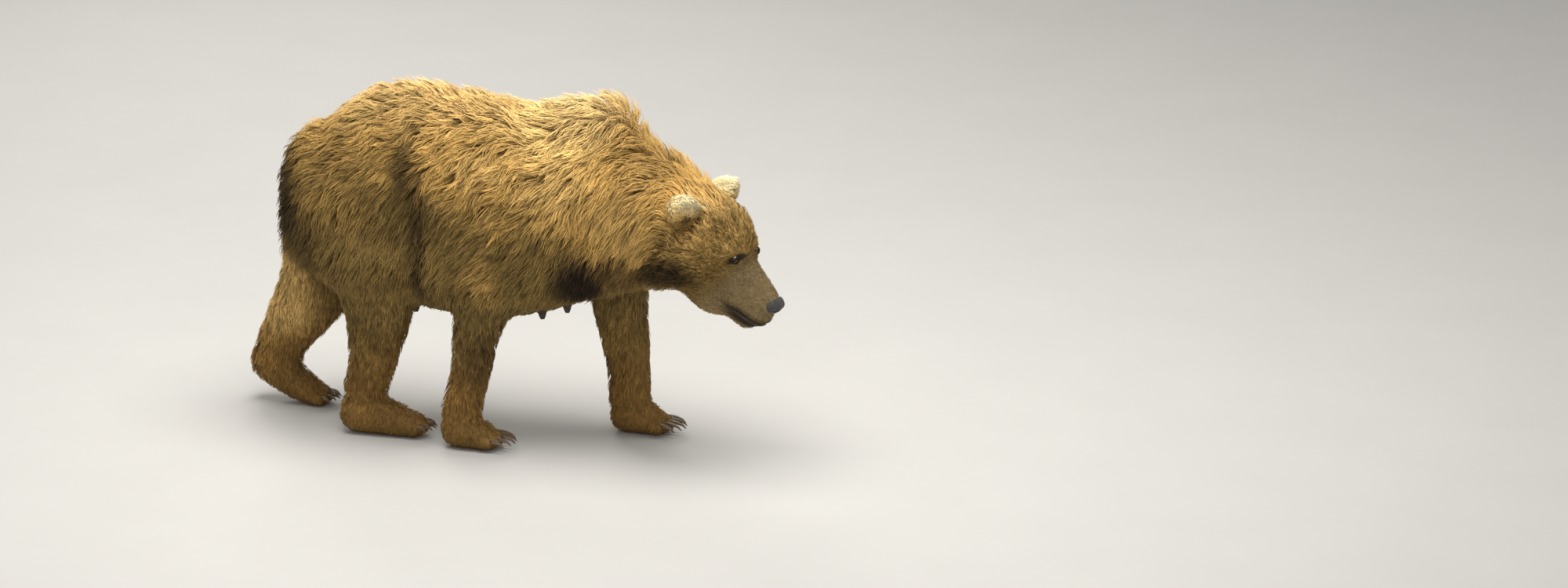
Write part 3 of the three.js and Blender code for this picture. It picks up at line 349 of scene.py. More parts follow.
def chain(p, joints):
    """A leg or foot as round cones through its smoothed joints."""
    joints = np.array(joints, float)
    at = np.arange(len(joints))
    fine = np.linspace(0, len(joints) - 1, (len(joints) - 1) * LIMB_STEPS + 1)
    joints = np.stack([curve(fine, at, joints[:, i]) for i in range(5)], 1)
    d = np.full(len(p), np.inf)
    for a, b in zip(joints[:-1], joints[1:]):
        d = np.minimum(d, cone(p, a[:3], b[:3], a[3], b[3], (a[4] + b[4]) / 2))
    return d


def leg(p, name):
    limb, foot = LEGS[name]
    spread, toe, reach = PAWS[name[:4]]
    d = melt(chain(p, limb), chain(p, foot), SOFTNESS["foot"])
    x, y, z = foot[-1][:3]
    for i in range(TOES):
        step = i - (TOES - 1) / 2
        at = [x + reach - TOE_ARC * step * step, y + step * spread, z - TOE_DROP + toe[2] / 4]
        d = melt(d, ball(p, at, toe), SOFTNESS["toe"])
    return d


FAR = 1.0  # what a field says of points outside its reach
REACH = 0.12  # how far round a leg its field still matters


def leg_box(name):
    joints = np.array(LEGS[name][0] + LEGS[name][1])
    radii = joints[:, 3:4]
    return (joints[:, :3] - radii).min(0) - REACH, (joints[:, :3] + radii).max(0) + REACH


LEG_BOXES = {name: leg_box(name) for name in LEGS}


def partly(p, inside, field, *values):
    """The field where `inside` holds, and far away elsewhere."""
    d = np.full(len(p), FAR)
    if inside.any():
        d[inside] = field(p[inside], *values)
    return d


def body(p):
    d = melt(trunk(p), cone(p, *HUMP), SOFTNESS["hump"])
    d = melt(d, cone(p, *NAPE), SOFTNESS["nape"])
    for centre in SHOULDERS:
        d = melt(d, ball(p, centre, SHOULDER_RADII), SOFTNESS["shoulder"])
    neck = melt(cone(p, *NECK[0]), cone(p, *NECK[1]), SOFTNESS["neck_parts"])
    d = melt(d, neck, SOFTNESS["neck"])
    d = melt(d, partly(p, p[:, 0] > HEAD_BACK, head), SOFTNESS["head"])
    for name, (low, high) in LEG_BOXES.items():
        inside = ((p > low) & (p < high)).all(1)
        d = melt(d, partly(p, inside, leg, name), SOFTNESS["leg"])
    return melt(d, cone(p, *TAIL), SOFTNESS["tail"])


def long_share(p):
    """How much of the coat's full depth there is over p."""
    return ramp(p[:, 2], *LONG_ENDS_Z) * (1 - ramp(ahead(p), *LONG_ENDS_FACE))


def coat_depth(p):
    short = mix(SHORT_DEPTH, FACE_DEPTH, ramp(ahead(p), 0.08, 0.22) * (p[:, 0] > HEAD_BACK))
    short = mix(PAW_DEPTH, short, ramp(p[:, 2], 0.03, 0.16))
    return np.maximum(LONG_DEPTH * long_share(p), short)


def drift(p, scale=1.0):
    """A smooth wandering value from -1 to 1 that changes over a hand's breadth."""
    total = np.zeros(len(p))
    for way, phase in DRIFT_WAVES:
        total += np.sin(p @ np.array(way) * scale + phase)
    return total / len(DRIFT_WAVES)


def fold(p, widen=1.0):
    """How deep the fold of skin before the thigh goes at p; `widen` makes it wider."""
    t = (p[:, 2] - FLANK_FOLD["z"][0]) / (FLANK_FOLD["z"][1] - FLANK_FOLD["z"][0])
    sway = FOLD_SWAY[0] * np.sin(t * FOLD_SWAY[1])
    across = (p[:, 0] - mix(*FLANK_FOLD["x"], t) - sway) / FLANK_FOLD["width"]
    ends = ramp(t, 0, 0.25) * (1 - ramp(t, 0.6, 1.0)) * ramp(np.abs(p[:, 1]), 0.10, 0.16)
    return FLANK_FOLD["depth"] * ends * np.exp(-((across / widen) ** 2))


mouth_way = unit(np.subtract(MOUTH_FRONT, MOUTH_BACK))


def mouth_height(h):
    """How far above the line of the mouth a point of the head's frame lies."""
    return (h[:, 2] - MOUTH_BACK[1]) * mouth_way[0] - (h[:, 0] - MOUTH_BACK[0]) * mouth_way[1]


def mouth(p):
    h = in_head(p)
    depth, width = MOUTH_GROOVE
    inside = ramp(h[:, 0], MOUTH_BACK[0] - 0.02, MOUTH_BACK[0] + 0.01)
    return depth * inside * np.exp(-((mouth_height(h) / width) ** 2))


def skin(p):
    return body(p) + coat_depth(p) + fold(p) + mouth(p)


# The corners of a small tetrahedron, between which a field's slope is taken.
STEP = 0.0015
STEP_WAYS = np.array([[1, -1, -1], [-1, -1, 1], [-1, 1, -1], [1, 1, 1]], float)


def outward(field, p):
    return unit(sum(way * field(p + way * STEP)[:, None] for way in STEP_WAYS))


def onto(field, p, level=0, rounds=3):
    """The points moved along the field's slope to where it has the given level."""
    for _ in range(rounds):
        out = outward(field, p)
        p = p + out * np.asarray(level - field(p))[:, None]
    return p


SIDES = {"left": 1, "right": -1}
HALVINGS = 24


def reach_along(start, way, limit, level):
    """How far from `start` along `way`, up to a limit, the head's field rises to a level."""
    inner, outer = 0.0, limit
    for _ in range(HALVINGS):
        middle = (inner + outer) / 2
        if head((start + way * middle)[None])[0] < level:
            inner = middle
        else:
            outer = middle
    return inner


def eye_centre(side):
    """Where an eye's middle lies: a little under the head's surface, straight to one side."""
    start = head_point(EYE["forward"], 0, EYE["up"])
    return start + side * LEFT * reach_along(start, side * LEFT, EYE["limit"], -EYE["depth"])


eye_centres = {name: eye_centre(side) for name, side in SIDES.items()}
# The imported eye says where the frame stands, so the bear's own axes are moved by this much.
eye_low, eye_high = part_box("eye_right")
SHIFT = (np.array(eye_low) + np.array(eye_high)) / 2 - eye_centres["right"]
SHIFT[2] = 0

# ---------------------------------------------------------------- meshes from fields


def net(field, low, high, cell):
    """The closed surface of a field as points and quads, one point in each cell it crosses."""
    axes = [np.arange(a, b + cell, cell) for a, b in zip(low, high)]
    grid = np.stack(np.meshgrid(*axes, indexing="ij"), -1)
    values = field(grid.reshape(-1, 3)).reshape(grid.shape[:3])
    values[[0, -1]] = values[:, [0, -1]] = values[:, :, [0, -1]] = FAR
    inside = values < 0
    cells = tuple(n - 1 for n in values.shape)
    total, count = np.zeros((*cells, 3)), np.zeros(cells)
    crossings = []
    for axis in range(3):
        beyond = np.roll(values, -1, axis)
        crosses = inside != (beyond < 0)
        t = np.where(crosses, values / np.where(crosses, values - beyond, 1), 0)
        crossings.append(crosses)
        others = [k for k in range(3) if k != axis]
        for steps in np.ndindex(2, 2):
            part = [slice(0, n) for n in cells]
            for k, step in zip(others, steps):
                part[k] = slice(step, step + cells[k])
            hit = crosses[tuple(part)]
            count += hit
            total[..., axis] += np.where(hit, t[tuple(part)], 0)
            for k, step in zip(others, steps):
                total[..., k] += step * hit
    used = count > 0
    number = np.full(cells, -1)
    number[used] = np.arange(used.sum())
    corner = np.argwhere(used)
    points = (corner + total[used] / count[used][:, None]) * cell + np.array(low)
    quads = []
    for axis, crosses in enumerate(crossings):
        others = [(axis + 1) % 3, (axis + 2) % 3]
        at = np.argwhere(crosses)
        at = at[(at[:, others[0]] > 0) & (at[:, others[1]] > 0)]
        back = np.zeros((4, 3), int)
        back[1, others[0]] = back[2, others[0]] = -1
        back[2, others[1]] = back[3, others[1]] = -1
        ring = np.stack([number[tuple((at + b).T)] for b in back], 1)
        turned = inside[tuple(at.T)]
        ring[turned] = ring[turned][:, ::-1]
        quads.append(ring[:, ::-1])
    return points, np.concatenate(quads)


def linked(name, data):
    """A new object of the scene that shows the data."""
    made = bpy.data.objects.new(name, data)
    bpy.context.scene.collection.objects.link(made)
    return made


def mesh_object(name, points, faces):
    mesh = bpy.data.meshes.new(name)
    mesh.from_pydata((points + SHIFT).tolist(), [], [list(map(int, f)) for f in faces])
    mesh.validate()
    mesh.shade_smooth()
    return linked(name, mesh)


def fill(parts, name, values, kind=np.float32):
    """Sets one thing of every part of a mesh, such as its points' places, in one go."""
    parts.foreach_set(name, np.asarray(values, kind).ravel())


def own_points(mesh):
    """A mesh's points in the bear's own axes."""
    flat = np.empty(len(mesh.vertices) * 3)
    mesh.vertices.foreach_get("co", flat)
    return flat.reshape(-1, 3) - SHIFT


def refine(made, wanted):
    """Halves the faces whose middles are wanted, and lays every point on the skin again."""
    mesh = made.data
    bm = bmesh.new()
    bm.from_mesh(mesh)
    middles = np.array([f.calc_center_median() for f in bm.faces]) - SHIFT
    chosen = wanted(middles)
    edges = {e for f, yes in zip(bm.faces, chosen) if yes for e in f.edges}
    bmesh.ops.subdivide_edges(bm, edges=list(edges), cuts=1, use_grid_fill=True)
    bmesh.ops.triangulate(bm, faces=[f for f in bm.faces if len(f.verts) > 4])
    bm.to_mesh(mesh)
    bm.free()
    points = onto(floored, own_points(mesh), rounds=2)
    fill(mesh.vertices, "co", points + SHIFT)
    mesh.update()


BODY_BOX = ([-0.16, -0.32, -0.03], [1.78, 0.32, 1.12])
SKIN_CELL = 0.011
# The skin's faces are halved once on the paws and ahead of the first of these places on the face,
# and once more ahead of the second.
PAWS_TOP = 0.09
FINE_FACE = (0.06, 0.16)


def floored(p):
    """The skin's field, cut flat just above the floor."""
    return np.maximum(skin(p), FLOOR_CLEAR - p[:, 2])


def make_skin():
    points, quads = net(floored, *BODY_BOX, SKIN_CELL)
    points = onto(floored, points, rounds=2)
    made = mesh_object("skin", points, quads)
    for start, low in zip(FINE_FACE, (PAWS_TOP, 0)):
        refine(made, lambda p: (ahead(p) > start) & (p[:, 0] > FACE_FROM) | (p[:, 2] < low))
    return made


# ---------------------------------------------------------------- markings

COLOURS = {
    "golden": (0.590, 0.355, 0.105),
    "straw": (0.920, 0.620, 0.225),
    "brown": (0.232, 0.150, 0.046),
    "dark": (0.026, 0.016, 0.008),
    "pale": (1.000, 0.840, 0.480),
    "orange": (0.330, 0.165, 0.040),
    "muzzle": (0.350, 0.250, 0.118),
    "claw_dark": (0.050, 0.032, 0.020),
    "claw_worn": (0.210, 0.150, 0.095),
    "iris_dark": (0.012, 0.006, 0.003),
    "iris_brown": (0.060, 0.026, 0.010),
}
# The border between golden coat above and brown coat below: x, z.
BORDER = ([0.0, 0.2, 0.4, 0.52, 0.60, 0.70, 0.82, 0.95, 1.02, 1.10, 1.25, 1.40],
          [0.80, 0.84, 0.87, 0.87, 0.83, 0.77, 0.74, 0.73, 0.71, 0.60, 0.56, 0.48])
BORDER_WIDTH = (0.140, 0.060)  # on the haunches, and before them

# Dark places, given on the left and there on both sides: centre, radii, strength. Some are painted
# shade, as marked.
DARK_SPOTS = (
    ((0.090, 0.10, 0.72), (0.165, 0.30, 0.23), 0.82),  # round the tail
    ((0.212, 0.10, 0.59), (0.065, 0.17, 0.14), 0.50),  # rear edge of the thigh
    ((0.250, 0.19, 0.88), (0.100, 0.12, 0.07), 0.40),  # over the hip
    ((1.065, 0.16, 0.565), (0.115, 0.16, 0.135), 1.00),  # painted shadow under the hanging neck hair behind the elbow, over dark fur
    ((1.180, 0.17, 0.605), (0.120, 0.14, 0.085), 0.75),  # painted shadow under the neck's hanging hair, along the throat
    ((1.215, 0.20, 0.830), (0.090, 0.15, 0.080), 0.20),  # the side of the neck
    ((1.300, 0.17, 0.58), (0.170, 0.12, 0.09), 0.85),  # painted shadow under the cheek
    ((0.532, 0.21, 0.87), (0.060, 0.16, 0.15), 0.70),  # painted shade over the fold before the thigh
    # painted shade along the same fold, lower down
    ((0.600, 0.24, 0.75), (0.060, 0.12, 0.09), 0.45),
    ((0.760, 0.17, 0.28), (0.110, 0.12, 0.15), 0.42),  # the forearm
    ((1.316, 0.20, 0.72), (0.035, 0.06, 0.05), 0.50),  # painted shadow in the crease behind the cheek
    ((1.260, 0.08, 0.93), (0.120, 0.18, 0.100), 0.20),  # the nape
)
# Places where the coat is straw, on the hump and upper shoulder partly painted top light, and where
# it is paler still: painted top light on the hump's crest.
STRAW_SPOTS = (
    ((0.980, 0.10, 1.00), (0.200, 0.280, 0.170), 0.80),  # hump and upper shoulder, partly painted top light
    ((1.200, 0.20, 0.73), (0.140, 0.160, 0.120), 0.22),  # side of the neck
    ((1.000, 0.20, 0.85), (0.130, 0.160, 0.100), 0.40),  # the shoulder
    ((0.770, 0.20, 0.88), (0.120, 0.160, 0.080), 0.28),  # the ribs
    ((0.330, 0.10, 1.00), (0.120, 0.150, 0.100), 0.30),  # over the loin
)
PAINTED_TOP_LIGHT_SPOTS = (((1.030, 0.00, 1.080), (0.150, 0.150, 0.090), 0.22),)  # painted top light on the hump's crest
EAR_BACK = ((1.40, 0.17, 0.81), (0.07, 0.07, 0.07))  # the pale fur behind each ear
# Places where the brown coat lets more of the gold through.
LIGHT_SPOTS = (
    ((0.790, 0.20, 0.555), (0.090, 0.120, 0.110), 0.60),  # the upper arm
    ((0.550, 0.20, 0.600), (0.100, 0.120, 0.100), 0.10),  # the flank's skin before the thigh
    ((0.310, 0.20, 0.730), (0.160, 0.140, 0.100), 0.30),  # the thigh
)


def spot(p, centre, radii):
    """A soft mark: 1 at its centre, 0 past its radii."""
    q = (p - np.array(centre)) / np.array(radii)
    return 1 - ramp(np.linalg.norm(q, axis=1), 0.35, 1)


def spots(p, listed):
    """The strongest at p of some marks: each has a centre, radii and a strength."""
    return np.max([strength * spot(p, centre, radii) for centre, radii, strength in listed], axis=0)


def eye_streak(side):
    """Axes, in the head's frame, of the painted shadow streak through an eye: across it, along it
    and into the head.
    """
    along = unit(np.array(STREAK_WAY) * [1, side, 1])
    inward = unit(np.cross(along, [1.0, 0, 0]))
    return np.array([np.cross(inward, along), along, inward])


def eye_distance(p, radii):
    """How far p is from the nearer eye's streak: 1 at the given radii, across, along and in."""
    far = []
    for name, side in SIDES.items():
        q = (in_head(p) - in_head(eye_centres[name])) @ eye_streak(side).T
        far.append(np.linalg.norm((q - [0, STREAK_LIFT, 0]) / np.array(radii), axis=1))
    return np.min(far, axis=0)


def face_dark(p, h, snout):
    """How dark the face is: its lips, the top of its muzzle, and painted shadow under the brows in
    a streak through each eye.
    """
    lips = snout * (1 - ramp(np.abs(mouth_height(h) + 0.004), 0.008, 0.036))
    dark = 0.93 * lips * ramp(h[:, 0], 0.25, 0.33)
    dark = np.maximum(dark, 0.28 * snout * ramp(h[:, 2], -0.040, -0.010))
    # painted shadow under the brow, in a streak through each eye
    return np.maximum(dark, 0.95 * (1 - ramp(eye_distance(p, BROW_SHADOW_RADII), 0.45, 1)))


def markings(p, stray=0.0):
    """Shares of brown, dark, pale, orange, muzzle and straw at p, in the bear's own axes. Part of
    the dark is painted shade, and part of the pale and straw is painted light.
    """
    x, z = p[:, 0], p[:, 2]
    h, left = in_head(p), one_side(p)
    on_head = ramp(h[:, 0], -0.02, 0.10) * (x > HEAD_FROM)
    snout = ramp(h[:, 0], 0.19, 0.26) * (x > FACE_FROM)
    brow = spot(one_side(h), *BROW)
    # The far hind leg made brighter and more golden: partly its own orange-gold coat, partly
    # painted sunlight.
    far_hind_gold_and_sunlight = (1 - ramp(x, 0.06, 0.19)) * (1 - ramp(z, 0.51, 0.64)) * ramp(z, 0.16, 0.28)
    border = np.interp(x, *BORDER) + 0.03 * drift(p)
    width = mix(*BORDER_WIDTH, ramp(x, 0.50, 0.64))
    brown = 1 - ramp((z - border + stray * 0.035) / width, -1, 1)
    brown = mix(brown, 0.64 + 0.28 * (1 - ramp(h[:, 2], -0.19, -0.02)), on_head)
    brown = brown * (1 - 0.6 * brow) * (1 - spots(left, LIGHT_SPOTS)) * (1 - 0.95 * far_hind_gold_and_sunlight)
    # Painted shade in the fold of skin before the thigh.
    painted_fold_shade = 0.85 * fold(p, 1.9) / FLANK_FOLD["depth"]
    dark = np.max([painted_fold_shade, spots(left, DARK_SPOTS), face_dark(p, h, snout)], axis=0) * (1 - brow)
    behind_ear = spot(left, *EAR_BACK) * (h[:, 0] < 0.03)
    # Paler behind the ears is the coat's own colour; paler along the top of the back and on the
    # hump's crest is painted top light.
    pale = np.max([behind_ear, 0.12 * ramp(z, 0.92, 1.06), spots(left, PAINTED_TOP_LIGHT_SPOTS)], axis=0)
    orange = np.maximum(0.55 * (1 - ramp(z, 0.14, 0.42)) * (x < HEAD_FROM), 0.32 * far_hind_gold_and_sunlight)
    straw = np.maximum(spots(left, STRAW_SPOTS), far_hind_gold_and_sunlight)
    return np.stack([brown, dark, pale, orange, snout, straw], 1)


def store_marks(mesh, marks, shade, along):
    """Keeps the markings on a mesh in two colours, with each tuft's shade and the way along it."""
    rest = np.stack(np.broadcast_arrays(marks[:, 4], shade, along, marks[:, 5]), 1)
    for name, values in (("marks", marks[:, :4]), ("tuft", rest)):
        layer = mesh.color_attributes.new(name, "FLOAT_COLOR", "POINT")
        fill(layer.data, "color", values)


# ---------------------------------------------------------------- materials


class Nodes:
    """A material's node tree, with short ways to add and link nodes."""

    def __init__(self, name):
        self.material = bpy.data.materials.new(name)
        self.material.use_nodes = True
        self.tree = self.material.node_tree
        self.shader = self.tree.nodes["Principled BSDF"]

    def put(self, value, socket):
        if isinstance(value, bpy.types.NodeSocket):
            self.tree.links.new(value, socket)
        else:
            socket.default_value = value

    def add(self, kind, inputs, **settings):
        """A new node; each of its inputs is a value or another node's output."""
        node = self.tree.nodes.new("ShaderNode" + kind)
        for name, value in settings.items():
            setattr(node, name, value)
        for name, value in inputs.items():
            self.put(value, node.inputs[name])
        return node

    def mixed(self, a, b, factor, blend="MIX"):
        a, b = ((*c, 1) if isinstance(c, tuple) else c for c in (a, b))
        inputs = {0: factor, 6: a, 7: b}
        return self.add("Mix", inputs, data_type="RGBA", blend_type=blend).outputs[2]

    def scaled(self, value, low, high, start=0.0, end=1.0):
        limits = {"From Min": start, "From Max": end, "To Min": low, "To Max": high}
        return self.add("MapRange", {"Value": value, **limits}).outputs["Result"]

    def places(self, stretch=(1, 1, 1)):
        own = self.add("TexCoord", {}).outputs["Object"]
        return self.add("Mapping", {"Vector": own, "Scale": stretch}).outputs["Vector"]

    def noise(self, scale, detail=3.0, stretch=(1, 1, 1)):
        inputs = {"Vector": self.places(stretch), "Scale": scale, "Detail": detail}
        return self.add("TexNoise", inputs).outputs["Fac"]

    def stored(self, name):
        """A stored colour's first three channels, and its fourth."""
        found = self.add("Attribute", {}, attribute_name=name).outputs
        return *self.add("SeparateColor", {0: found["Color"]}).outputs[:3], found["Alpha"]

    def shaded(self, colour, value):
        """The colour made lighter or darker by a value."""
        grey = self.add("CombineColor", {0: value, 1: value, 2: value}).outputs[0]
        return self.mixed(colour, grey, 1.0, "MULTIPLY")

    def bump(self, height, distance):
        node = self.add("Bump", {"Strength": 1.0, "Distance": distance, "Height": height})
        self.put(node.outputs["Normal"], self.shader.inputs["Normal"])

    def finished(self, colour, roughness, specular, **others):
        """The material with its colour, roughness and gloss, and any other named sockets."""
        others.update(Base_Color=colour, Roughness=roughness, Specular_IOR_Level=specular)
        for name, value in others.items():
            self.put(value, self.shader.inputs[name.replace("_", " ")])
        return self.material


def marked_colour(n):
    """The coat's colour: its named colours mixed by the stored shares, with patchy variation."""
    brown, dark, pale, orange = n.stored("marks")
    muzzle, shade, along, straw = n.stored("tuft")
    colour = n.mixed(COLOURS["golden"], COLOURS["straw"], straw)
    shares = (brown, orange, muzzle, pale, dark)
    for name, share in zip(("brown", "orange", "muzzle", "pale", "dark"), shares):
        colour = n.mixed(colour, COLOURS[name], share)
    colour = n.shaded(colour, n.scaled(n.noise(9.0), 0.80, 1.18, 0.3, 0.7))
    return colour, shade, along


def fur_material():
    """Hair: darker toward its root, partly painted shade deep in the coat, and light at its tip;
    each tuft a little its own shade.
    """
    n = Nodes("fur")
    colour, shade, along = marked_colour(n)
    colour = n.shaded(colour, n.scaled(shade, 0.35, 1.65))
    # darker toward the root: partly painted shade between the tufts
    colour = n.shaded(colour, n.scaled(along, 0.56, 1.10))
    colour = n.shaded(colour, n.scaled(n.noise(240.0, 2.0), 0.80, 1.20, 0.35, 0.65))
    return n.finished(colour, 0.62, 0.12, Sheen_Weight=0.02, Sheen_Roughness=0.5)


def skin_material():
    """The skin under the coat: the coat's colours, darker, partly painted shade between the tufts,
    with strokes that run down.
    """
    n = Nodes("skin")
    colour = marked_colour(n)[0]
    strokes = n.noise(160.0, 4.0, (1.0, 1.0, 0.22))
    n.bump(strokes, 0.003)
    return n.finished(n.shaded(colour, n.scaled(strokes, 0.45, 0.85, 0.3, 0.7)), 0.8, 0.2)


def leather_material(name, colour, cell, roughness, depth, specular):
    """Bare skin: small round cells with fine creases between them."""
    n = Nodes(name)
    inputs = {"Vector": n.places(), "Scale": cell}
    cells = n.add("TexVoronoi", inputs, feature="DISTANCE_TO_EDGE")
    edge = n.scaled(cells.outputs["Distance"], 0.0, 1.0, 0.0, 0.12)
    n.bump(edge, depth)
    tone = n.mixed(tuple(0.55 * c for c in colour), colour, edge)
    tone = n.shaded(tone, n.scaled(n.noise(60.0), 0.75, 1.3, 0.3, 0.7))
    return n.finished(tone, roughness, specular)


def claw_material():
    """Horn with fine streaks along it, worn paler in places."""
    n = Nodes("claw_horn")
    streaks = n.noise(90.0, 5.0, (0.25, 3.0, 1.0))
    n.bump(streaks, 0.0006)
    worn = n.scaled(streaks, 0, 1, 0.35, 0.65)
    return n.finished(n.mixed(COLOURS["claw_dark"], COLOURS["claw_worn"], worn), 0.38, 0.5)


def eye_material():
    """A dark brown eye under a wet gloss."""
    n = Nodes("eye_wet")
    spokes = n.scaled(n.noise(900.0, 4.0), 0, 1, 0.35, 0.7)
    colour = n.mixed(COLOURS["iris_dark"], COLOURS["iris_brown"], spokes)
    return n.finished(colour, 0.12, 0.6, Coat_Weight=1.0, Coat_Roughness=0.03)


# ---------------------------------------------------------------- the coat

HEIGHT_POWER = 2.0  # how soon along its length a tuft has risen
WAVE_LENGTH = 0.080
SWIRL = 0.85  # radians that the coat turns aside at most, where it curls
NORMAL_BIAS = 0.55  # how far a tuft's shading leans toward that of the body under it
ROOTED = 0.003  # how deep a tuft starts under the skin
SIZES = (0.72, 1.08)  # of tufts, as shares of their guide's length
WIDTHS = (0.75, 1.25)
TAPER = ([0, 0.3, 0.7, 1], [0.6, 1.0, 0.75, 0.0])  # along a tuft, the share of its width there
RIDGE = 0.9  # a tuft's height as a share of half its width
TIP_CURL = 5.0  # radians of a tuft's own curl
SHADE_SPREAD = (0.120, 0.085)  # of the guides, and of the tufts round one guide
FACE_SHADES = (0.26, 0.11)
PATCH = 0.003  # a tuft's size in the OFBake map
MAP_EDGE = 0.02  # what is left free along the map's edges

# Each kind of coat: how many guides, tufts round each and stations along them, and pairs of values,
# in metres but for the bend in radians and the share by which tips gather. A pair is mixed by a
# share: of the curl in the long coat, of how low it is in the short one, of the muzzle in the
# face's. The long coat's length goes from its shallow to its deep places.
LONG_COAT = {
    "guides": 11400, "each": 5, "stations": 4, "length": (0.035, 0.080), "wave": (0.001, 0.005),
    "bend": (0.30, 0.30), "spread": (0.012, 0.009), "gather": (0.12, 0.62),
    "width": (0.0036, 0.0042), "fray": (0.0015, 0.0034),
}
SHORT_COAT = {
    "guides": 6600, "each": 5, "stations": 3, "length": (0.038, 0.016), "wave": (0.001, 0.001),
    "bend": (0.3, 0.3), "spread": (0.010, 0.007), "gather": (0.45, 0.45),
    "width": (0.0036, 0.0028), "fray": (0.0014, 0.0014),
}
FACE_COAT = {
    "guides": 7300, "each": 3, "stations": 3, "length": (0.032, 0.010), "wave": (0.0006, 0.0006),
    "bend": (0.9, 0.3), "spread": (0.007, 0.004), "gather": (0.85, 0.5),
    "width": (0.0034, 0.0018), "fray": (0.0030, 0.0004),
}
EAR_COAT = {
    "guides": 1900, "each": 4, "stations": 3, "length": (0.026, 0.026), "wave": (0.0015, 0.0015),
    "bend": (0.8, 0.8), "spread": (0.006, 0.006), "gather": (0.35, 0.35),
    "width": (0.0021, 0.0021), "fray": (0.0035, 0.0035),
}
EAR_HEIGHT = 0.014
HUMP_FRONT = ((1.150, 0, 0.960), (0.110, 0.180, 0.110))  # where the coat is fuller but smooth

# Pieces of the long coat, by the x that each one ends at.
LONG_PIECES = (
    ("coat_rump", 0.25),
    ("coat_haunch", 0.42),
    ("coat_loin", 0.58),
    ("coat_flank", 0.74),
    ("coat_ribs", 0.90),
    ("coat_shoulders", 1.06),
    ("coat_neck", 1.22),
    ("coat_nape", 9.0),
)
HIND_END = 0.6  # the x that parts the short coat's pieces
MUZZLE_START = 0.16  # and, in the head's frame, the face's
BODY_AXIS = ((0.0, 0, 0.68), (1.4, -0.03, 0.72))  # round which each piece's map is unrolled
HEAD_AXIS = (head_point(-0.1, 0, -0.06), head_point(0.4, 0, -0.06))


def curly(p):
    """How much the coat curls and clumps at p: most on the upper back, hardly on the thighs."""
    x, z = p[:, 0], p[:, 2]
    low = ramp(z, 0.58, 0.84)
    thigh = 1 - ramp(x, 0.50, 0.66)
    fore = ramp(x, 0.84, 1.00) * (1 - ramp(z, 0.86, 1.00))
    curl = mix(low, low * ramp(z, 0.74, 0.92), thigh)
    return curl * (1 - 0.5 * fore) * (1 - 0.5 * ramp(x, 1.02, 1.12))


def lie(p, n):
    """The way the coat lies at p, along the surface whose outward way is n."""
    x, z = p[:, 0:1], p[:, 2:3]
    flank = n[:, 1:2] ** 2
    on_head = ramp(ahead(p)[:, None], -0.11, -0.01) * ramp(x, 1.22, 1.34)
    on_rump = 1 - ramp(x, 0.07, 0.30)
    on_leg = 1 - ramp(z, 0.42, 0.56)
    on_thigh = (1 - ramp(z, 0.66, 0.88)) * (1 - ramp(x, 0.56, 0.76))
    steep = mix(1.1, 1.9, ramp(x, 0.80, 1.10))
    nape = ramp(x, 0.98, 1.10) * (1 - flank)
    rise = mix(-0.12, 0.25, nape) - steep * flank
    way = np.concatenate([-np.ones_like(x), np.zeros_like(x), rise], 1)
    way = mix(way, np.array([-0.25, 0, -1.0]), np.maximum(on_rump * flank, on_thigh * flank**0.5))
    face_way = -FORWARD - 0.55 * (n @ LEFT)[:, None] ** 2 * UP
    way = mix(way, face_way, on_head)
    way = mix(way, np.array([-0.12, 0, -1.0]), on_leg * (1 - on_head))
    way = unit(way - n * dot(way, n))
    turn = (SWIRL * curly(p) * drift(p, 1.15))[:, None] * (1 - on_head)
    return unit(way * np.cos(turn) + np.cross(n, way) * np.sin(turn))


def scatter(rng, made, count, density):
    """Random points on a mesh, as dense at each place as asked."""
    mesh = made.data
    mesh.calc_loop_triangles()
    corners = np.empty(len(mesh.loop_triangles) * 3, int)
    mesh.loop_triangles.foreach_get("vertices", corners)
    tri = own_points(mesh)[corners.reshape(-1, 3)]
    area = np.linalg.norm(np.cross(tri[:, 1] - tri[:, 0], tri[:, 2] - tri[:, 0]), axis=1) / 2
    weight = area * density(tri.mean(1))
    chosen = np.searchsorted(np.cumsum(weight) / weight.sum(), rng.random(count))
    a, b = rng.random((2, count, 1))
    over = a + b > 1
    a, b = np.where(over, 1 - a, a), np.where(over, 1 - b, b)
    t = tri[np.minimum(chosen, len(tri) - 1)]
    return t[:, 0] + a * (t[:, 1] - t[:, 0]) + b * (t[:, 2] - t[:, 0])


def comb(rng, field, roots, lie_of, length, height, wave, bend, stations):
    """Guide hairs: from each root along the lie, rising to a height over the field's surface.

    Gives their points, sideways ways and outward ways, one row for each station."""
    along = np.linspace(0, 1, stations)
    phase = rng.uniform(0, 2 * math.pi, len(roots))
    turn = bend * rng.normal(0, 1, len(roots))
    p = roots
    n = outward(field, p)
    points, sides, ups = [], [], []
    for i, t in enumerate(along):
        if i:
            way = lie_of(p, n)
            way = unit(way + np.cross(n, way) * (turn * (t - 0.25))[:, None])
            p = p + way * (length * (along[1] - along[0]))[:, None]
            n = outward(field, p)
            level = height * (1 - (1 - t) ** HEIGHT_POWER)
            p = p + n * (level - field(p))[:, None]
        way = lie_of(p, n)
        side = np.cross(n, way)
        swing = wave * (np.sin(phase + t * length / WAVE_LENGTH * 2 * math.pi) - np.sin(phase))
        points.append(p + side * swing[:, None])
        sides.append(side)
        ups.append(n)
    points[0] = roots - ups[0] * ROOTED
    return np.stack(points, 1), np.stack(sides, 1), np.stack(ups, 1)


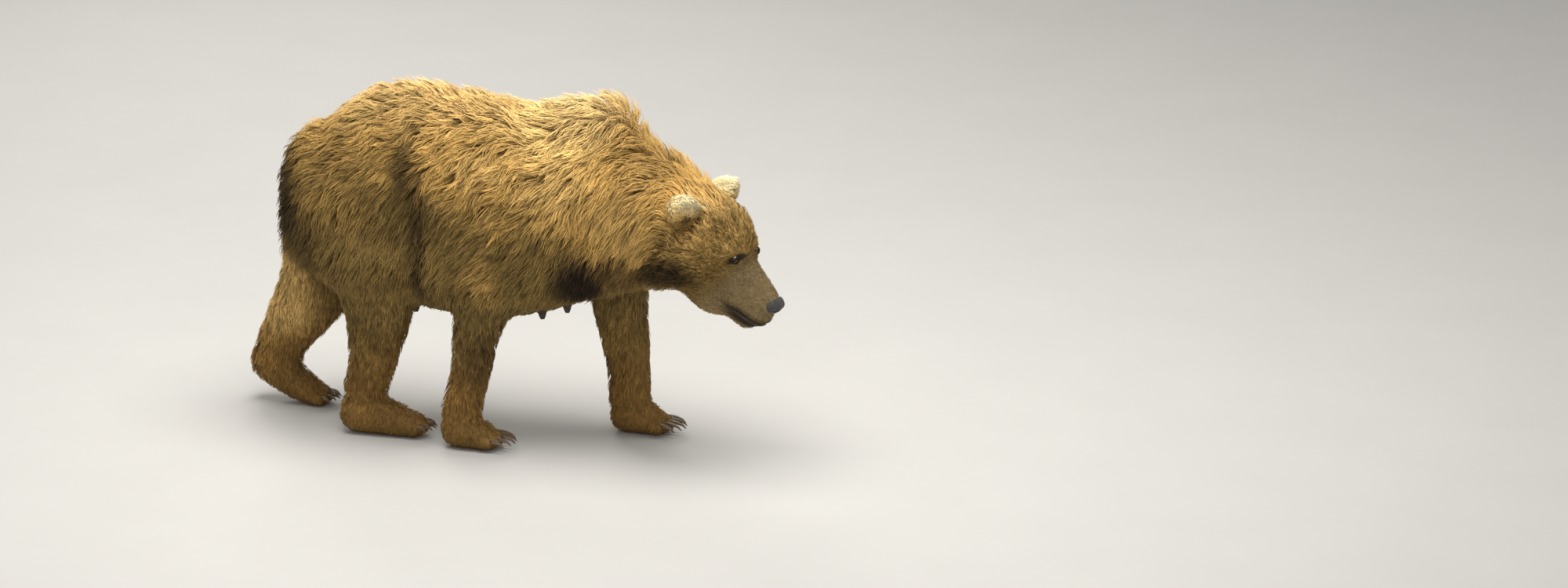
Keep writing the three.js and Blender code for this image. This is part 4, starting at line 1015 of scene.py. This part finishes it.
def tufts(rng, guides, each, spread, gather, width, fray):
    """Tapered three-sided tufts round each guide, their tips gathered toward it."""
    path, side, up = guides
    count, stations = path.shape[:2]
    g = np.repeat(np.arange(count), each)
    total = len(g)
    t = np.linspace(0, 1, stations)[None, :, None]
    angle = rng.uniform(0, 2 * math.pi, total)[:, None]
    reach = (np.sqrt(rng.random(total)) * spread[g])[:, None]
    forth = np.cross(side[:, 0], up[:, 0])
    offset = (np.cos(angle) * side[g, 0] + np.sin(angle) * forth[g]) * reach
    size = rng.uniform(*SIZES, total)[:, None, None]
    root = path[g, :1]
    p = root + (path[g] - root) * size + offset[:, None] * (1 - gather[g][:, None, None] * t**1.2)
    loose = rng.normal(0, 1, (2, total, 1)) * fray[g][None, :, None]
    curl = rng.uniform(0, 2 * math.pi, (total, 1))
    swing = np.sin(curl + t[:, :, 0] * TIP_CURL) - np.sin(curl)
    p = p + side[g] * (loose[0] * t[0, :, 0] + swing * fray[g][:, None] * 0.5)[:, :, None]
    p = p + up[g] * (loose[1] * 0.5 * t[0, :, 0])[:, :, None]
    taper = np.interp(t[0, :, 0], *TAPER)
    half = (width[g] * rng.uniform(*WIDTHS, total))[:, None, None] * taper[None, :, None] / 2
    corners = [p - side[g] * half, p + side[g] * half, p + up[g] * half * RIDGE]
    leans = [-side[g] - 0.4 * up[g], side[g] - 0.4 * up[g], up[g]]
    normal = [unit(mix(unit(lean), up[g], NORMAL_BIAS)) for lean in leans]
    rings = np.stack(corners, 2)[:, :-1]
    ring_normals = np.stack(normal, 2)[:, :-1]
    points = np.concatenate([rings.reshape(total, -1, 3), p[:, -1:]], 1)
    normals = np.concatenate([ring_normals.reshape(total, -1, 3), up[g, -1:]], 1)
    along = np.append(np.repeat(np.linspace(0, 1, stations)[:-1], 3), 1.0)
    return {"points": points, "normals": normals, "along": along, "guide": g,
            "root": p[:, 0], "stations": stations}


def tuft_faces(stations):
    """Corner numbers of one tuft's triangles, and where each corner lies in its patch."""
    faces, places = [], []
    for i in range(stations - 1):
        for j in range(3):
            a, b = 3 * i + j, 3 * i + (j + 1) % 3
            here, beside, across = [i, j], [i, j + 1], [i + 1, j + 1]
            if i == stations - 2:
                faces.append([a, b, 3 * i + 3])
                places.append([here, beside, [i + 1, j + 0.5]])
            else:
                faces += [[a, b, b + 3], [a, b + 3, a + 3]]
                places += [[here, beside, across], [here, across, [i + 1, j]]]
    return np.array(faces), np.array(places) / [stations - 1, 3]


def unwrap(p, axis_start, axis_end):
    """Where points lie on a map unrolled round an axis that isn't upright: along it, round it."""
    start, end = np.array(axis_start, float), np.array(axis_end, float)
    way = unit(end - start)
    across = unit(np.cross(way, [0, 0, 1.0]))
    over = np.cross(across, way)
    q = p - start
    u = q @ way
    v = np.arctan2(q @ across, q @ over) / (2 * math.pi) + 0.5
    u = (u - u.min()) / max(u.max() - u.min(), 1e-6)
    return MAP_EDGE + (1 - 2 * MAP_EDGE) * np.stack([u, v], 1)


def coat_object(name, tuft, keep, marks, shade, axis):
    """One coat piece of the kept tufts, with its markings and its OFBake map."""
    faces, places = tuft_faces(tuft["stations"])
    points = tuft["points"][keep]
    points[..., 2] = np.maximum(points[..., 2], FLOOR_CLEAR)
    total, each = points.shape[:2]
    mesh = bpy.data.meshes.new(name)
    corners = faces[None] + np.arange(total)[:, None, None] * each
    mesh.vertices.add(total * each)
    mesh.loops.add(corners.size)
    mesh.polygons.add(corners.size // 3)
    fill(mesh.vertices, "co", points + SHIFT)
    fill(mesh.loops, "vertex_index", corners, np.int32)
    fill(mesh.polygons, "loop_start", np.arange(0, corners.size, 3), np.int32)
    fill(mesh.polygons, "use_smooth", np.ones(corners.size // 3), bool)
    mesh.update(calc_edges=True)
    mesh.validate()
    middle = unwrap(tuft["root"][keep], *axis)
    uv = middle[:, None, None] + (places[None] - 0.5) * PATCH
    fill(mesh.uv_layers.new(name="OFBake").data, "uv", uv)
    guide = tuft["guide"][keep]
    marks, shade = np.repeat(marks[guide], each, axis=0), np.repeat(shade[keep], each)
    store_marks(mesh, marks, shade, np.tile(tuft["along"], total))
    mesh.normals_split_custom_set_from_vertices(tuft["normals"][keep].reshape(-1, 3))
    return linked(name, mesh)


def shades(rng, tuft, spread=SHADE_SPREAD):
    """A shade for each tuft: its guide's own, and a little of its own."""
    guides = tuft["guide"].max() + 1
    own = rng.normal(0, spread[1], len(tuft["guide"]))
    return np.clip(0.5 + rng.normal(0, spread[0], guides)[tuft["guide"]] + own, 0, 1)


def face_share(p):
    return ramp(ahead(p), 0.03, 0.10) * (p[:, 0] > HEAD_FROM)


def varied(rng, value, low, high):
    """A value for each root, times a random share of it."""
    return value * rng.uniform(low, high, len(value))


def grow(rng, field, roots, lie_of, kind, share, length, height):
    """The guides of one kind of coat and the tufts round them; the share mixes its pairs."""
    pairs = [kind[name] for name in ("wave", "bend", "spread", "gather", "width", "fray")]
    wave, bend, *look = (mix(*pair, share) for pair in pairs)
    guides = comb(rng, field, roots, lie_of, length, height, wave, bend, kind["stations"])
    return guides, tufts(rng, guides, kind["each"], *look)


def pieces_of(rng, guides, tuft, places, stray, spread=SHADE_SPREAD):
    """The coat pieces of some tufts: for each name, those whose guides are in its place."""
    middles = guides[0][:, (guides[0].shape[1] - 1) // 2]
    marks = markings(middles, rng.normal(0, stray, len(middles)))
    shade = shades(rng, tuft, spread)
    return [
        coat_object(name, tuft, inside[tuft["guide"]], marks, shade, axis)
        for name, inside, axis in places
    ]


def long_coat(rng, skin_piece):
    """The shaggy coat of back, flanks, shoulders and neck, in wavy locks."""

    def wanted(p):
        return (long_share(p) > 0.12) * (1 - face_share(p))

    roots = scatter(rng, skin_piece, LONG_COAT["guides"], wanted)
    before_hump = spot(roots, *HUMP_FRONT)
    curl = curly(roots) * (1 - 0.8 * before_hump)
    length = varied(rng, mix(*LONG_COAT["length"], long_share(roots)), 0.8, 1.2)
    lifted = mix(0.95, 0.88, curl) + varied(rng, mix(0.07, 0.22, curl), -1, 1)
    lifted += 0.16 * curl * drift(roots, 1.9)
    height = coat_depth(roots) * (np.minimum(lifted, 1.12) + 0.12 * before_hump)
    guides, tuft = grow(rng, skin, roots, lie, LONG_COAT, curl, length, height)
    x = roots[:, 0]
    starts = [-9.0] + [end for _, end in LONG_PIECES]
    places = [
        (name, (x >= start) & (x < end), BODY_AXIS)
        for (name, end), start in zip(LONG_PIECES, starts)
    ]
    return pieces_of(rng, guides, tuft, places, 1.0)


def short_coat(rng, skin_piece):
    """The flat coat of belly, thighs and legs."""

    def wanted(p):
        return (long_share(p) < 0.25) * (1 - face_share(p)) * (p[:, 2] > 0.012)

    roots = scatter(rng, skin_piece, SHORT_COAT["guides"], wanted)
    low = 1 - ramp(roots[:, 2], 0.05, 0.20)
    length = varied(rng, mix(*SHORT_COAT["length"], low), 0.8, 1.2)
    height = varied(rng, coat_depth(roots), 0.5, 1.0)
    guides, tuft = grow(rng, skin, roots, lie, SHORT_COAT, low, length, height)
    x = roots[:, 0]
    places = [("fur_hind", x < HIND_END, BODY_AXIS), ("fur_fore", x >= HIND_END, BODY_AXIS)]
    return pieces_of(rng, guides, tuft, places, 1.0)


def face_coat(rng, skin_piece):
    """The short plush fur of the face, shortest on the muzzle."""

    def wanted(p):
        h = in_head(p)
        density = mix(1.0, 2.2, ramp(h[:, 0], 0.10, 0.25))
        bare = (np.abs(mouth_height(h)) < 0.006) & (h[:, 0] > MOUTH_BACK[0])
        nose = (h[:, 0] > NOSE["forward"] - 0.004) & (h[:, 2] > NOSE["chin_side"] - 0.004)
        return face_share(p) * density * ~(bare | nose | (eye_distance(p, EYE_BARE) < 1))

    roots = scatter(rng, skin_piece, FACE_COAT["guides"], wanted)
    h = in_head(roots)
    snout = ramp(h[:, 0], 0.12, 0.24)
    length = varied(rng, mix(*FACE_COAT["length"], snout), 0.7, 1.25)
    length *= mix(1.0, 0.75, ramp(h[:, 0], 0.28, 0.36))
    length *= mix(0.35, 1.0, ramp(eye_distance(roots, EYE_BARE), 1.0, 2.6))
    height = varied(rng, coat_depth(roots) + 0.008 * (1 - snout), 0.25, 1.2)
    height += 0.007 * spot(one_side(h), *BROW)
    guides, tuft = grow(rng, skin, roots, lie, FACE_COAT, snout, length, height)
    muzzle = h[:, 0] >= MUZZLE_START
    places = [("fur_head", ~muzzle, HEAD_AXIS), ("fur_muzzle", muzzle, HEAD_AXIS)]
    spread = (FACE_SHADES[0] * mix(1.0, 0.35, snout), FACE_SHADES[1])
    return pieces_of(rng, guides, tuft, places, 0.5, spread)


# ---------------------------------------------------------------- ears, eyes, nose and lips


def ear_field(side):
    """An ear as a field, a thick cup on a stem that reaches down to the skin, with its middle and
    its axes: across it, the way it opens, and upright."""
    f, s, u = EAR["opening"]
    opening = unit(f * FORWARD + side * s * LEFT + u * UP)
    across = unit(np.cross(UP, opening))
    upright = np.cross(opening, across)
    axes = np.array([across, opening, upright])
    f, s, u = EAR["centre"]
    centre = head_point(f, side * s, u)
    back, inward, down = EAR_STEM["foot"]
    foot = head_point(f + back, side * (s - inward), u - down)

    def field(p):
        shell = ball(p, centre, [EAR["radius"], EAR["depth"], EAR["radius"]], axes)
        shell = -melt(-shell, EAR["face"] - (p - centre) @ opening, EAR["rim"])
        middle = centre + opening * EAR["face"] - upright * EAR["cup_low"]
        hollow = ball(p, middle, [EAR["cup"], EAR["cup_depth"], EAR["cup"]], axes)
        shell = -melt(-shell, hollow, EAR["rim"])
        stem = cone(p, centre - opening * EAR_STEM["back"], foot, *EAR_STEM["radii"])
        return melt(shell, stem, EAR_STEM["softness"])

    return field, centre, axes


def make_ear(name, side):
    field, centre, _ = ear_field(side)
    points, quads = net(field, centre - EAR["room"], centre + EAR["room"], EAR["cell"])
    return mesh_object("ear_" + name + "_skin", onto(field, points, rounds=2), quads)


def round_tube(name, path, radii, sides=10):
    """A closed tapered tube along a path."""
    path = np.asarray(path, float)
    way = unit(np.gradient(path, axis=0))
    side = unit(np.cross(way, UP))
    over = np.cross(side, way)
    rings = []
    for i in range(len(path)):
        angle = np.linspace(0, 2 * math.pi, sides, endpoint=False)[:, None]
        rings.append(path[i] + radii[i] * (np.cos(angle) * side[i] + np.sin(angle) * over[i]))
    points = np.concatenate([*rings, path[:1], path[-1:]])
    first, last = len(points) - 2, len(points) - 1
    end = (len(path) - 1) * sides
    faces = []
    for j in range(sides):
        k = (j + 1) % sides
        faces += [[i + j, i + k, i + sides + k, i + sides + j] for i in range(0, end, sides)]
        faces += [[first, k, j], [last, end + j, end + k]]
    return mesh_object(name, points, faces)


def make_eye(name, centre):
    bm = bmesh.new()
    bmesh.ops.create_uvsphere(bm, u_segments=32, v_segments=20, radius=EYE["radius"])
    points = np.array([v.co for v in bm.verts]) + centre
    faces = [[v.index for v in f.verts] for f in bm.faces]
    bm.free()
    return mesh_object("eyeball_" + name, points, faces)


LID = {"thickness": 0.0018, "corner": 0.0112, "opening": 0.0024, "half_height": 0.0090,
       "back": -0.002, "cell": 0.0010}


def make_lids(name, centre, side):
    """The lids of one eye: an almond cap over the ball, open at a slit from corner to corner."""
    out = outward(head, centre[None])[0]
    streak = eye_streak(side)[1] @ HEAD_AXES
    along = unit(streak - out * (streak @ out))
    axes = np.array([along, np.cross(out, along), out])

    def field(p):
        q = (p - centre) @ axes.T
        reach = np.linalg.norm(q, axis=1) - EYE["radius"]
        slit = np.hypot(q[:, 0] / LID["corner"], q[:, 1] / LID["opening"]) - 1
        slit = np.where(q[:, 2] > 0, slit * LID["opening"], FAR)
        shell = np.maximum(reach - LID["thickness"], 0.0003 - reach)
        edge = np.maximum(np.abs(q[:, 1]) - LID["half_height"], LID["back"] - q[:, 2])
        return np.max([shell, -slit, edge], axis=0)

    room = EYE["radius"] + 3 * LID["thickness"]
    points, quads = net(field, centre - room, centre + room, LID["cell"])
    return mesh_object("lids_" + name, points, quads)


def nose_field(p):
    h = in_head(p)
    d = ball(h, NOSE["centre"], NOSE["radii"])
    d = -melt(-d, h[:, 0] - NOSE["back"], NOSE["back_softness"])
    for beyond in (h[:, 0] - NOSE["front"], h[:, 2] - NOSE["top"], NOSE["chin_side"] - h[:, 2]):
        d = -melt(-d, -beyond, NOSE["softness"])
    groove = NOSE_GROOVE["depth"] * np.exp(-((h[:, 1] / NOSE_GROOVE["width"]) ** 2))
    d = d + groove * (1 - ramp(h[:, 2], *NOSE_GROOVE["fade"]))
    for centre, radii in (NOSTRIL, NOSTRIL_SLIT):
        d = -melt(-d, ball(one_side(h), centre, radii), NOSE["nostril_softness"])
    return d


def make_nose():
    centre = head_point(*NOSE["centre"])
    points, quads = net(nose_field, centre - NOSE["room"], centre + NOSE["room"], NOSE["cell"])
    return mesh_object("nose_pad", onto(nose_field, points, rounds=2), quads)


LIP = {"radius": 0.0026, "sunk": 0.0025, "limit": 0.16, "turn": 2.35, "steps": 29, "sides": 8}


def lip_path(lift):
    """Round the muzzle just above or below the line of the mouth, from corner to corner."""
    front = unit(mouth_way[0] * FORWARD + mouth_way[1] * UP)
    f, u = np.add(MOUTH_BACK, MOUTH_FRONT) / 2
    middle = head_point(f, 0, u) + UP * lift
    path = []
    for angle in np.linspace(-LIP["turn"], LIP["turn"], LIP["steps"]):
        way = front * math.cos(angle) + LEFT * math.sin(angle)
        path.append(middle + way * reach_along(middle, way, LIP["limit"], -LIP["sunk"]))
    return np.array(path)


def make_lips():
    made = []
    for label, way in (("upper", 1), ("lower", -1)):
        path = lip_path(way * LIP["radius"] * 0.9)
        t = np.abs(np.linspace(-1, 1, len(path)))
        radii = LIP["radius"] * mix(1.0, 0.4, t**3)
        made.append(round_tube("lip_" + label, path, radii, LIP["sides"]))
    return made


def in_cup(p, side, margin=0.0):
    """Which points of an ear lie in its cup."""
    centre, axes = ear_field(side)[1:]
    q = (p - centre) @ axes.T + [0, 0, EAR["cup_low"]]
    return (np.linalg.norm(q[:, [0, 2]], axis=1) < EAR["cup"] - margin) & (q[:, 1] > -0.02)


def ear_marks(p, side, stray=0.0):
    """An ear's markings: cream above and behind, golden below, dark in the cup."""
    centre, axes = ear_field(side)[1:]
    upper = (p - centre) @ unit(axes[2] - 0.6 * FORWARD) + stray
    pale = ramp(upper, 0.002, 0.036)
    low = 1 - ramp(upper, -0.036, 0.006)
    cup = in_cup(p, side)
    marks = np.zeros((len(p), 6))
    marks[:, 0] = np.where(cup, 0.6, 0.50 * low)
    marks[:, 1] = np.where(in_cup(p, side, 0.002), 0.55, 0.0)
    marks[:, 2] = np.where(cup, 0.1, pale)
    marks[:, 5] = np.where(cup, 0.0, 0.9 * (1 - low) * (1 - pale))
    return marks


def ear_coat(rng, name, side, ear):
    """Thick pale fur that runs from the back of the ear over its rim."""
    field, centre, axes = ear_field(side)
    opening = axes[1]

    def wanted(p):
        deep = (p - centre) @ opening < -0.070
        return np.where(deep, 0.0, np.where(in_cup(p, side), 0.5, 1.0))

    def lie_of(p, n):
        inward = unit(centre - p)
        over_rim = ramp((p - centre) @ opening, -0.01, 0.02)[:, None]
        way = opening + 0.25 * UP + 0.3 * inward * over_rim
        return unit(way - n * dot(way, n))

    roots = scatter(rng, ear, EAR_COAT["guides"], wanted)
    share = np.zeros(len(roots))
    length = varied(rng, mix(*EAR_COAT["length"], share), 0.75, 1.2)
    height = varied(rng, share + EAR_HEIGHT, 0.45, 1.1)
    tuft = grow(rng, field, roots, lie_of, EAR_COAT, share, length, height)[1]
    marks = ear_marks(roots, side, 0.006 * rng.normal(0, 1, len(roots)))
    axis = (centre - opening * 0.1, centre + opening * 0.1)
    every = np.ones(len(tuft["guide"]), bool)
    return coat_object("fur_ear_" + name, tuft, every, marks, shades(rng, tuft), axis)


# ---------------------------------------------------------------- teats

# Where they are under the chest and belly: x and half the distance between the two of a pair.
TEATS = ((0.985, 0.062), (0.900, 0.066), (0.500, 0.060))
TEAT_LENGTH = 0.030
TEAT_RADII = 0.012 * np.array([2.2, 1.9, 1.4, 1.05, 0.85, 0.50])  # from under the skin to the tip
TEAT_ROOT = -0.4  # where a teat starts under the skin, as a share of its length


def make_teats():
    """Three pairs of short dark teats that hang from the skin."""
    made = []
    t = np.linspace(TEAT_ROOT, 1, len(TEAT_RADII))
    for i, (x, apart) in enumerate(TEATS):
        for label, side in SIDES.items():
            start = onto(skin, np.array([[x, side * apart, 0.42]]), rounds=6)[0]
            down = np.array([0.1, side * 0.15, -1.0])
            path = start + down * (t * TEAT_LENGTH)[:, None]
            made.append(round_tube(f"teat_{i + 1}_{label}", path, TEAT_RADII))
    return made


# ---------------------------------------------------------------- putting it together


def dress(made, material, slot_name, *nodes):
    made.data.materials.append(material)
    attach(made, "root")
    if nodes:
        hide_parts(*nodes)


# Bare skin: colour, cells for each metre, roughness, depth of its creases in metres, gloss.
LEATHERS = {
    "lip_leather": ((0.060, 0.044, 0.036), 500, 0.80, 0.0004, 0.5),
    "lid_leather": ((0.026, 0.017, 0.011), 500, 0.95, 0.0003, 0.1),
    "nose_leather": ((0.066, 0.061, 0.056), 620, 0.42, 0.0006, 0.5),
}
FLESH = ["head", "muzzle", "lower_jaw", "neck", "forequarters", "barrel", "hindquarters", "tail"]
FLESH += [f"{part}_{name}" for part in ("upper_leg", "lower_leg", "paw") for name in LEGS]
SEED = 7


def make_bear():
    """Every piece of the bear, with its material and the nodes that it replaces."""
    rng = np.random.default_rng(SEED)
    fur, hide, eye = fur_material(), skin_material(), eye_material()
    leather = {name: leather_material(name, *look) for name, look in LEATHERS.items()}

    skin_piece = make_skin()
    store_marks(skin_piece.data, markings(own_points(skin_piece.data)), 0.5, 0.3)
    dress(skin_piece, hide, "brown_fur", *FLESH)
    for piece in long_coat(rng, skin_piece):
        dress(piece, fur, "golden_fur")
    for piece in short_coat(rng, skin_piece) + face_coat(rng, skin_piece):
        dress(piece, fur, "brown_fur")

    for name, side in SIDES.items():
        ear = make_ear(name, side)
        store_marks(ear.data, ear_marks(own_points(ear.data), side), 0.5, 0.8)
        dress(ear, hide, "pale_fur", "ear_" + name)
        dress(ear_coat(rng, name, side, ear), fur, "pale_fur")
        dress(make_eye(name, eye_centres[name]), eye, "eye", "eye_" + name)
        dress(make_lids(name, eye_centres[name], side), leather["lid_leather"], "nose_leather")
    for piece in make_teats():
        dress(piece, leather["lip_leather"], "nose_leather")
    dress(make_nose(), leather["nose_leather"], "nose_leather", "nose")
    for piece in make_lips():
        dress(piece, leather["lip_leather"], "nose_leather")


def dress_claws():
    """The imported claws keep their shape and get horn."""
    horn = claw_material()
    for name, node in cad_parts.items():
        if name.startswith("claw"):
            node.data.materials.clear()
            node.data.materials.append(horn)
            node.data.shade_smooth()


# ---------------------------------------------------------------- floor, light and camera

FLOOR_SIZE = 60.0
FLOOR_COLOUR = (0.54, 0.53, 0.51)
# Soft lights: place, what it shines at, size, watts, colour.
LIGHTS = {
    "sky_light": ((0.3, -0.5, 5.0), (0, 0, 0.5), 4.5, 345, (1.0, 0.985, 0.95)),
    "fill_light": ((2.5, -6.0, 3.0), (0, 0, 0.5), 4.0, 92, (1.0, 0.97, 0.93)),
    "rim_light": ((-3.0, 5.0, 4.0), (0, 0, 0.6), 3.0, 150, (1.0, 0.98, 0.94)),
}
WORLD_COLOUR = (0.92, 0.91, 0.89, 1)
WORLD_STRENGTH = 0.42


def make_floor():
    half = FLOOR_SIZE / 2
    mesh = bpy.data.meshes.new("floor")
    corners = [(-half, -half, 0), (half, -half, 0), (half, half, 0), (-half, half, 0)]
    mesh.from_pydata(corners, [], [(0, 1, 2, 3)])
    n = Nodes("floor_matt")
    tone = n.mixed(FLOOR_COLOUR, tuple(0.94 * c for c in FLOOR_COLOUR), n.noise(3.0))
    mesh.materials.append(n.finished(tone, 0.9, 0.1))
    floor = linked("floor", mesh)


def aim(item, place, target):
    item.location = Vector(place)
    item.rotation_mode = "QUATERNION"
    item.rotation_quaternion = (Vector(target) - Vector(place)).to_track_quat("-Z", "Y")


def make_lights():
    for name, (place, target, size, power, colour) in LIGHTS.items():
        data = bpy.data.lights.new(name, "AREA")
        data.shape = "DISK"
        data.size, data.energy, data.color = size, power, colour
        aim(linked(name, data), place, target)
    world = bpy.data.worlds.new("studio")
    world.use_nodes = True
    background = world.node_tree.nodes["Background"]
    background.inputs["Color"].default_value = WORLD_COLOUR
    background.inputs["Strength"].default_value = WORLD_STRENGTH
    bpy.context.scene.world = world
    bpy.context.scene.view_settings.view_transform = "Standard"


# The photograph: how the camera stands to the bear, and where the bear stands in the picture.
VIEW_AZIMUTH = math.radians(20)
VIEW_ELEVATION = math.radians(16)
PIXELS_PER_METRE = 430.0
IMAGE = (2000, 750)
SENSOR = 36.0
DISTANCE = 30.0
VIEWED = np.array([0.80, 0.0, 0.55])  # a point in the middle of the bear
VIEWED_AT = (660.7, 326.8)  # and where it is in the picture


def make_camera():
    a, e = VIEW_AZIMUTH, VIEW_ELEVATION
    right = np.array([math.cos(a), math.sin(a), 0])
    back = np.array([math.sin(a) * math.cos(e), -math.cos(a) * math.cos(e), math.sin(e)])
    over = np.cross(back, right)
    data = bpy.data.cameras.new("camera")
    data.sensor_width = SENSOR
    data.lens = PIXELS_PER_METRE * SENSOR * DISTANCE / IMAGE[0]
    data.clip_end = 200
    camera = linked("camera", data)
    bear = VIEWED + SHIFT
    beside = (IMAGE[0] / 2 - VIEWED_AT[0]) / PIXELS_PER_METRE
    below = (IMAGE[1] / 2 - VIEWED_AT[1]) / PIXELS_PER_METRE
    target = bear + right * beside - over * below
    aim(camera, bear + back * DISTANCE, target)
    bpy.context.scene.camera = camera


make_bear()
dress_claws()
make_floor()
make_lights()
make_camera()
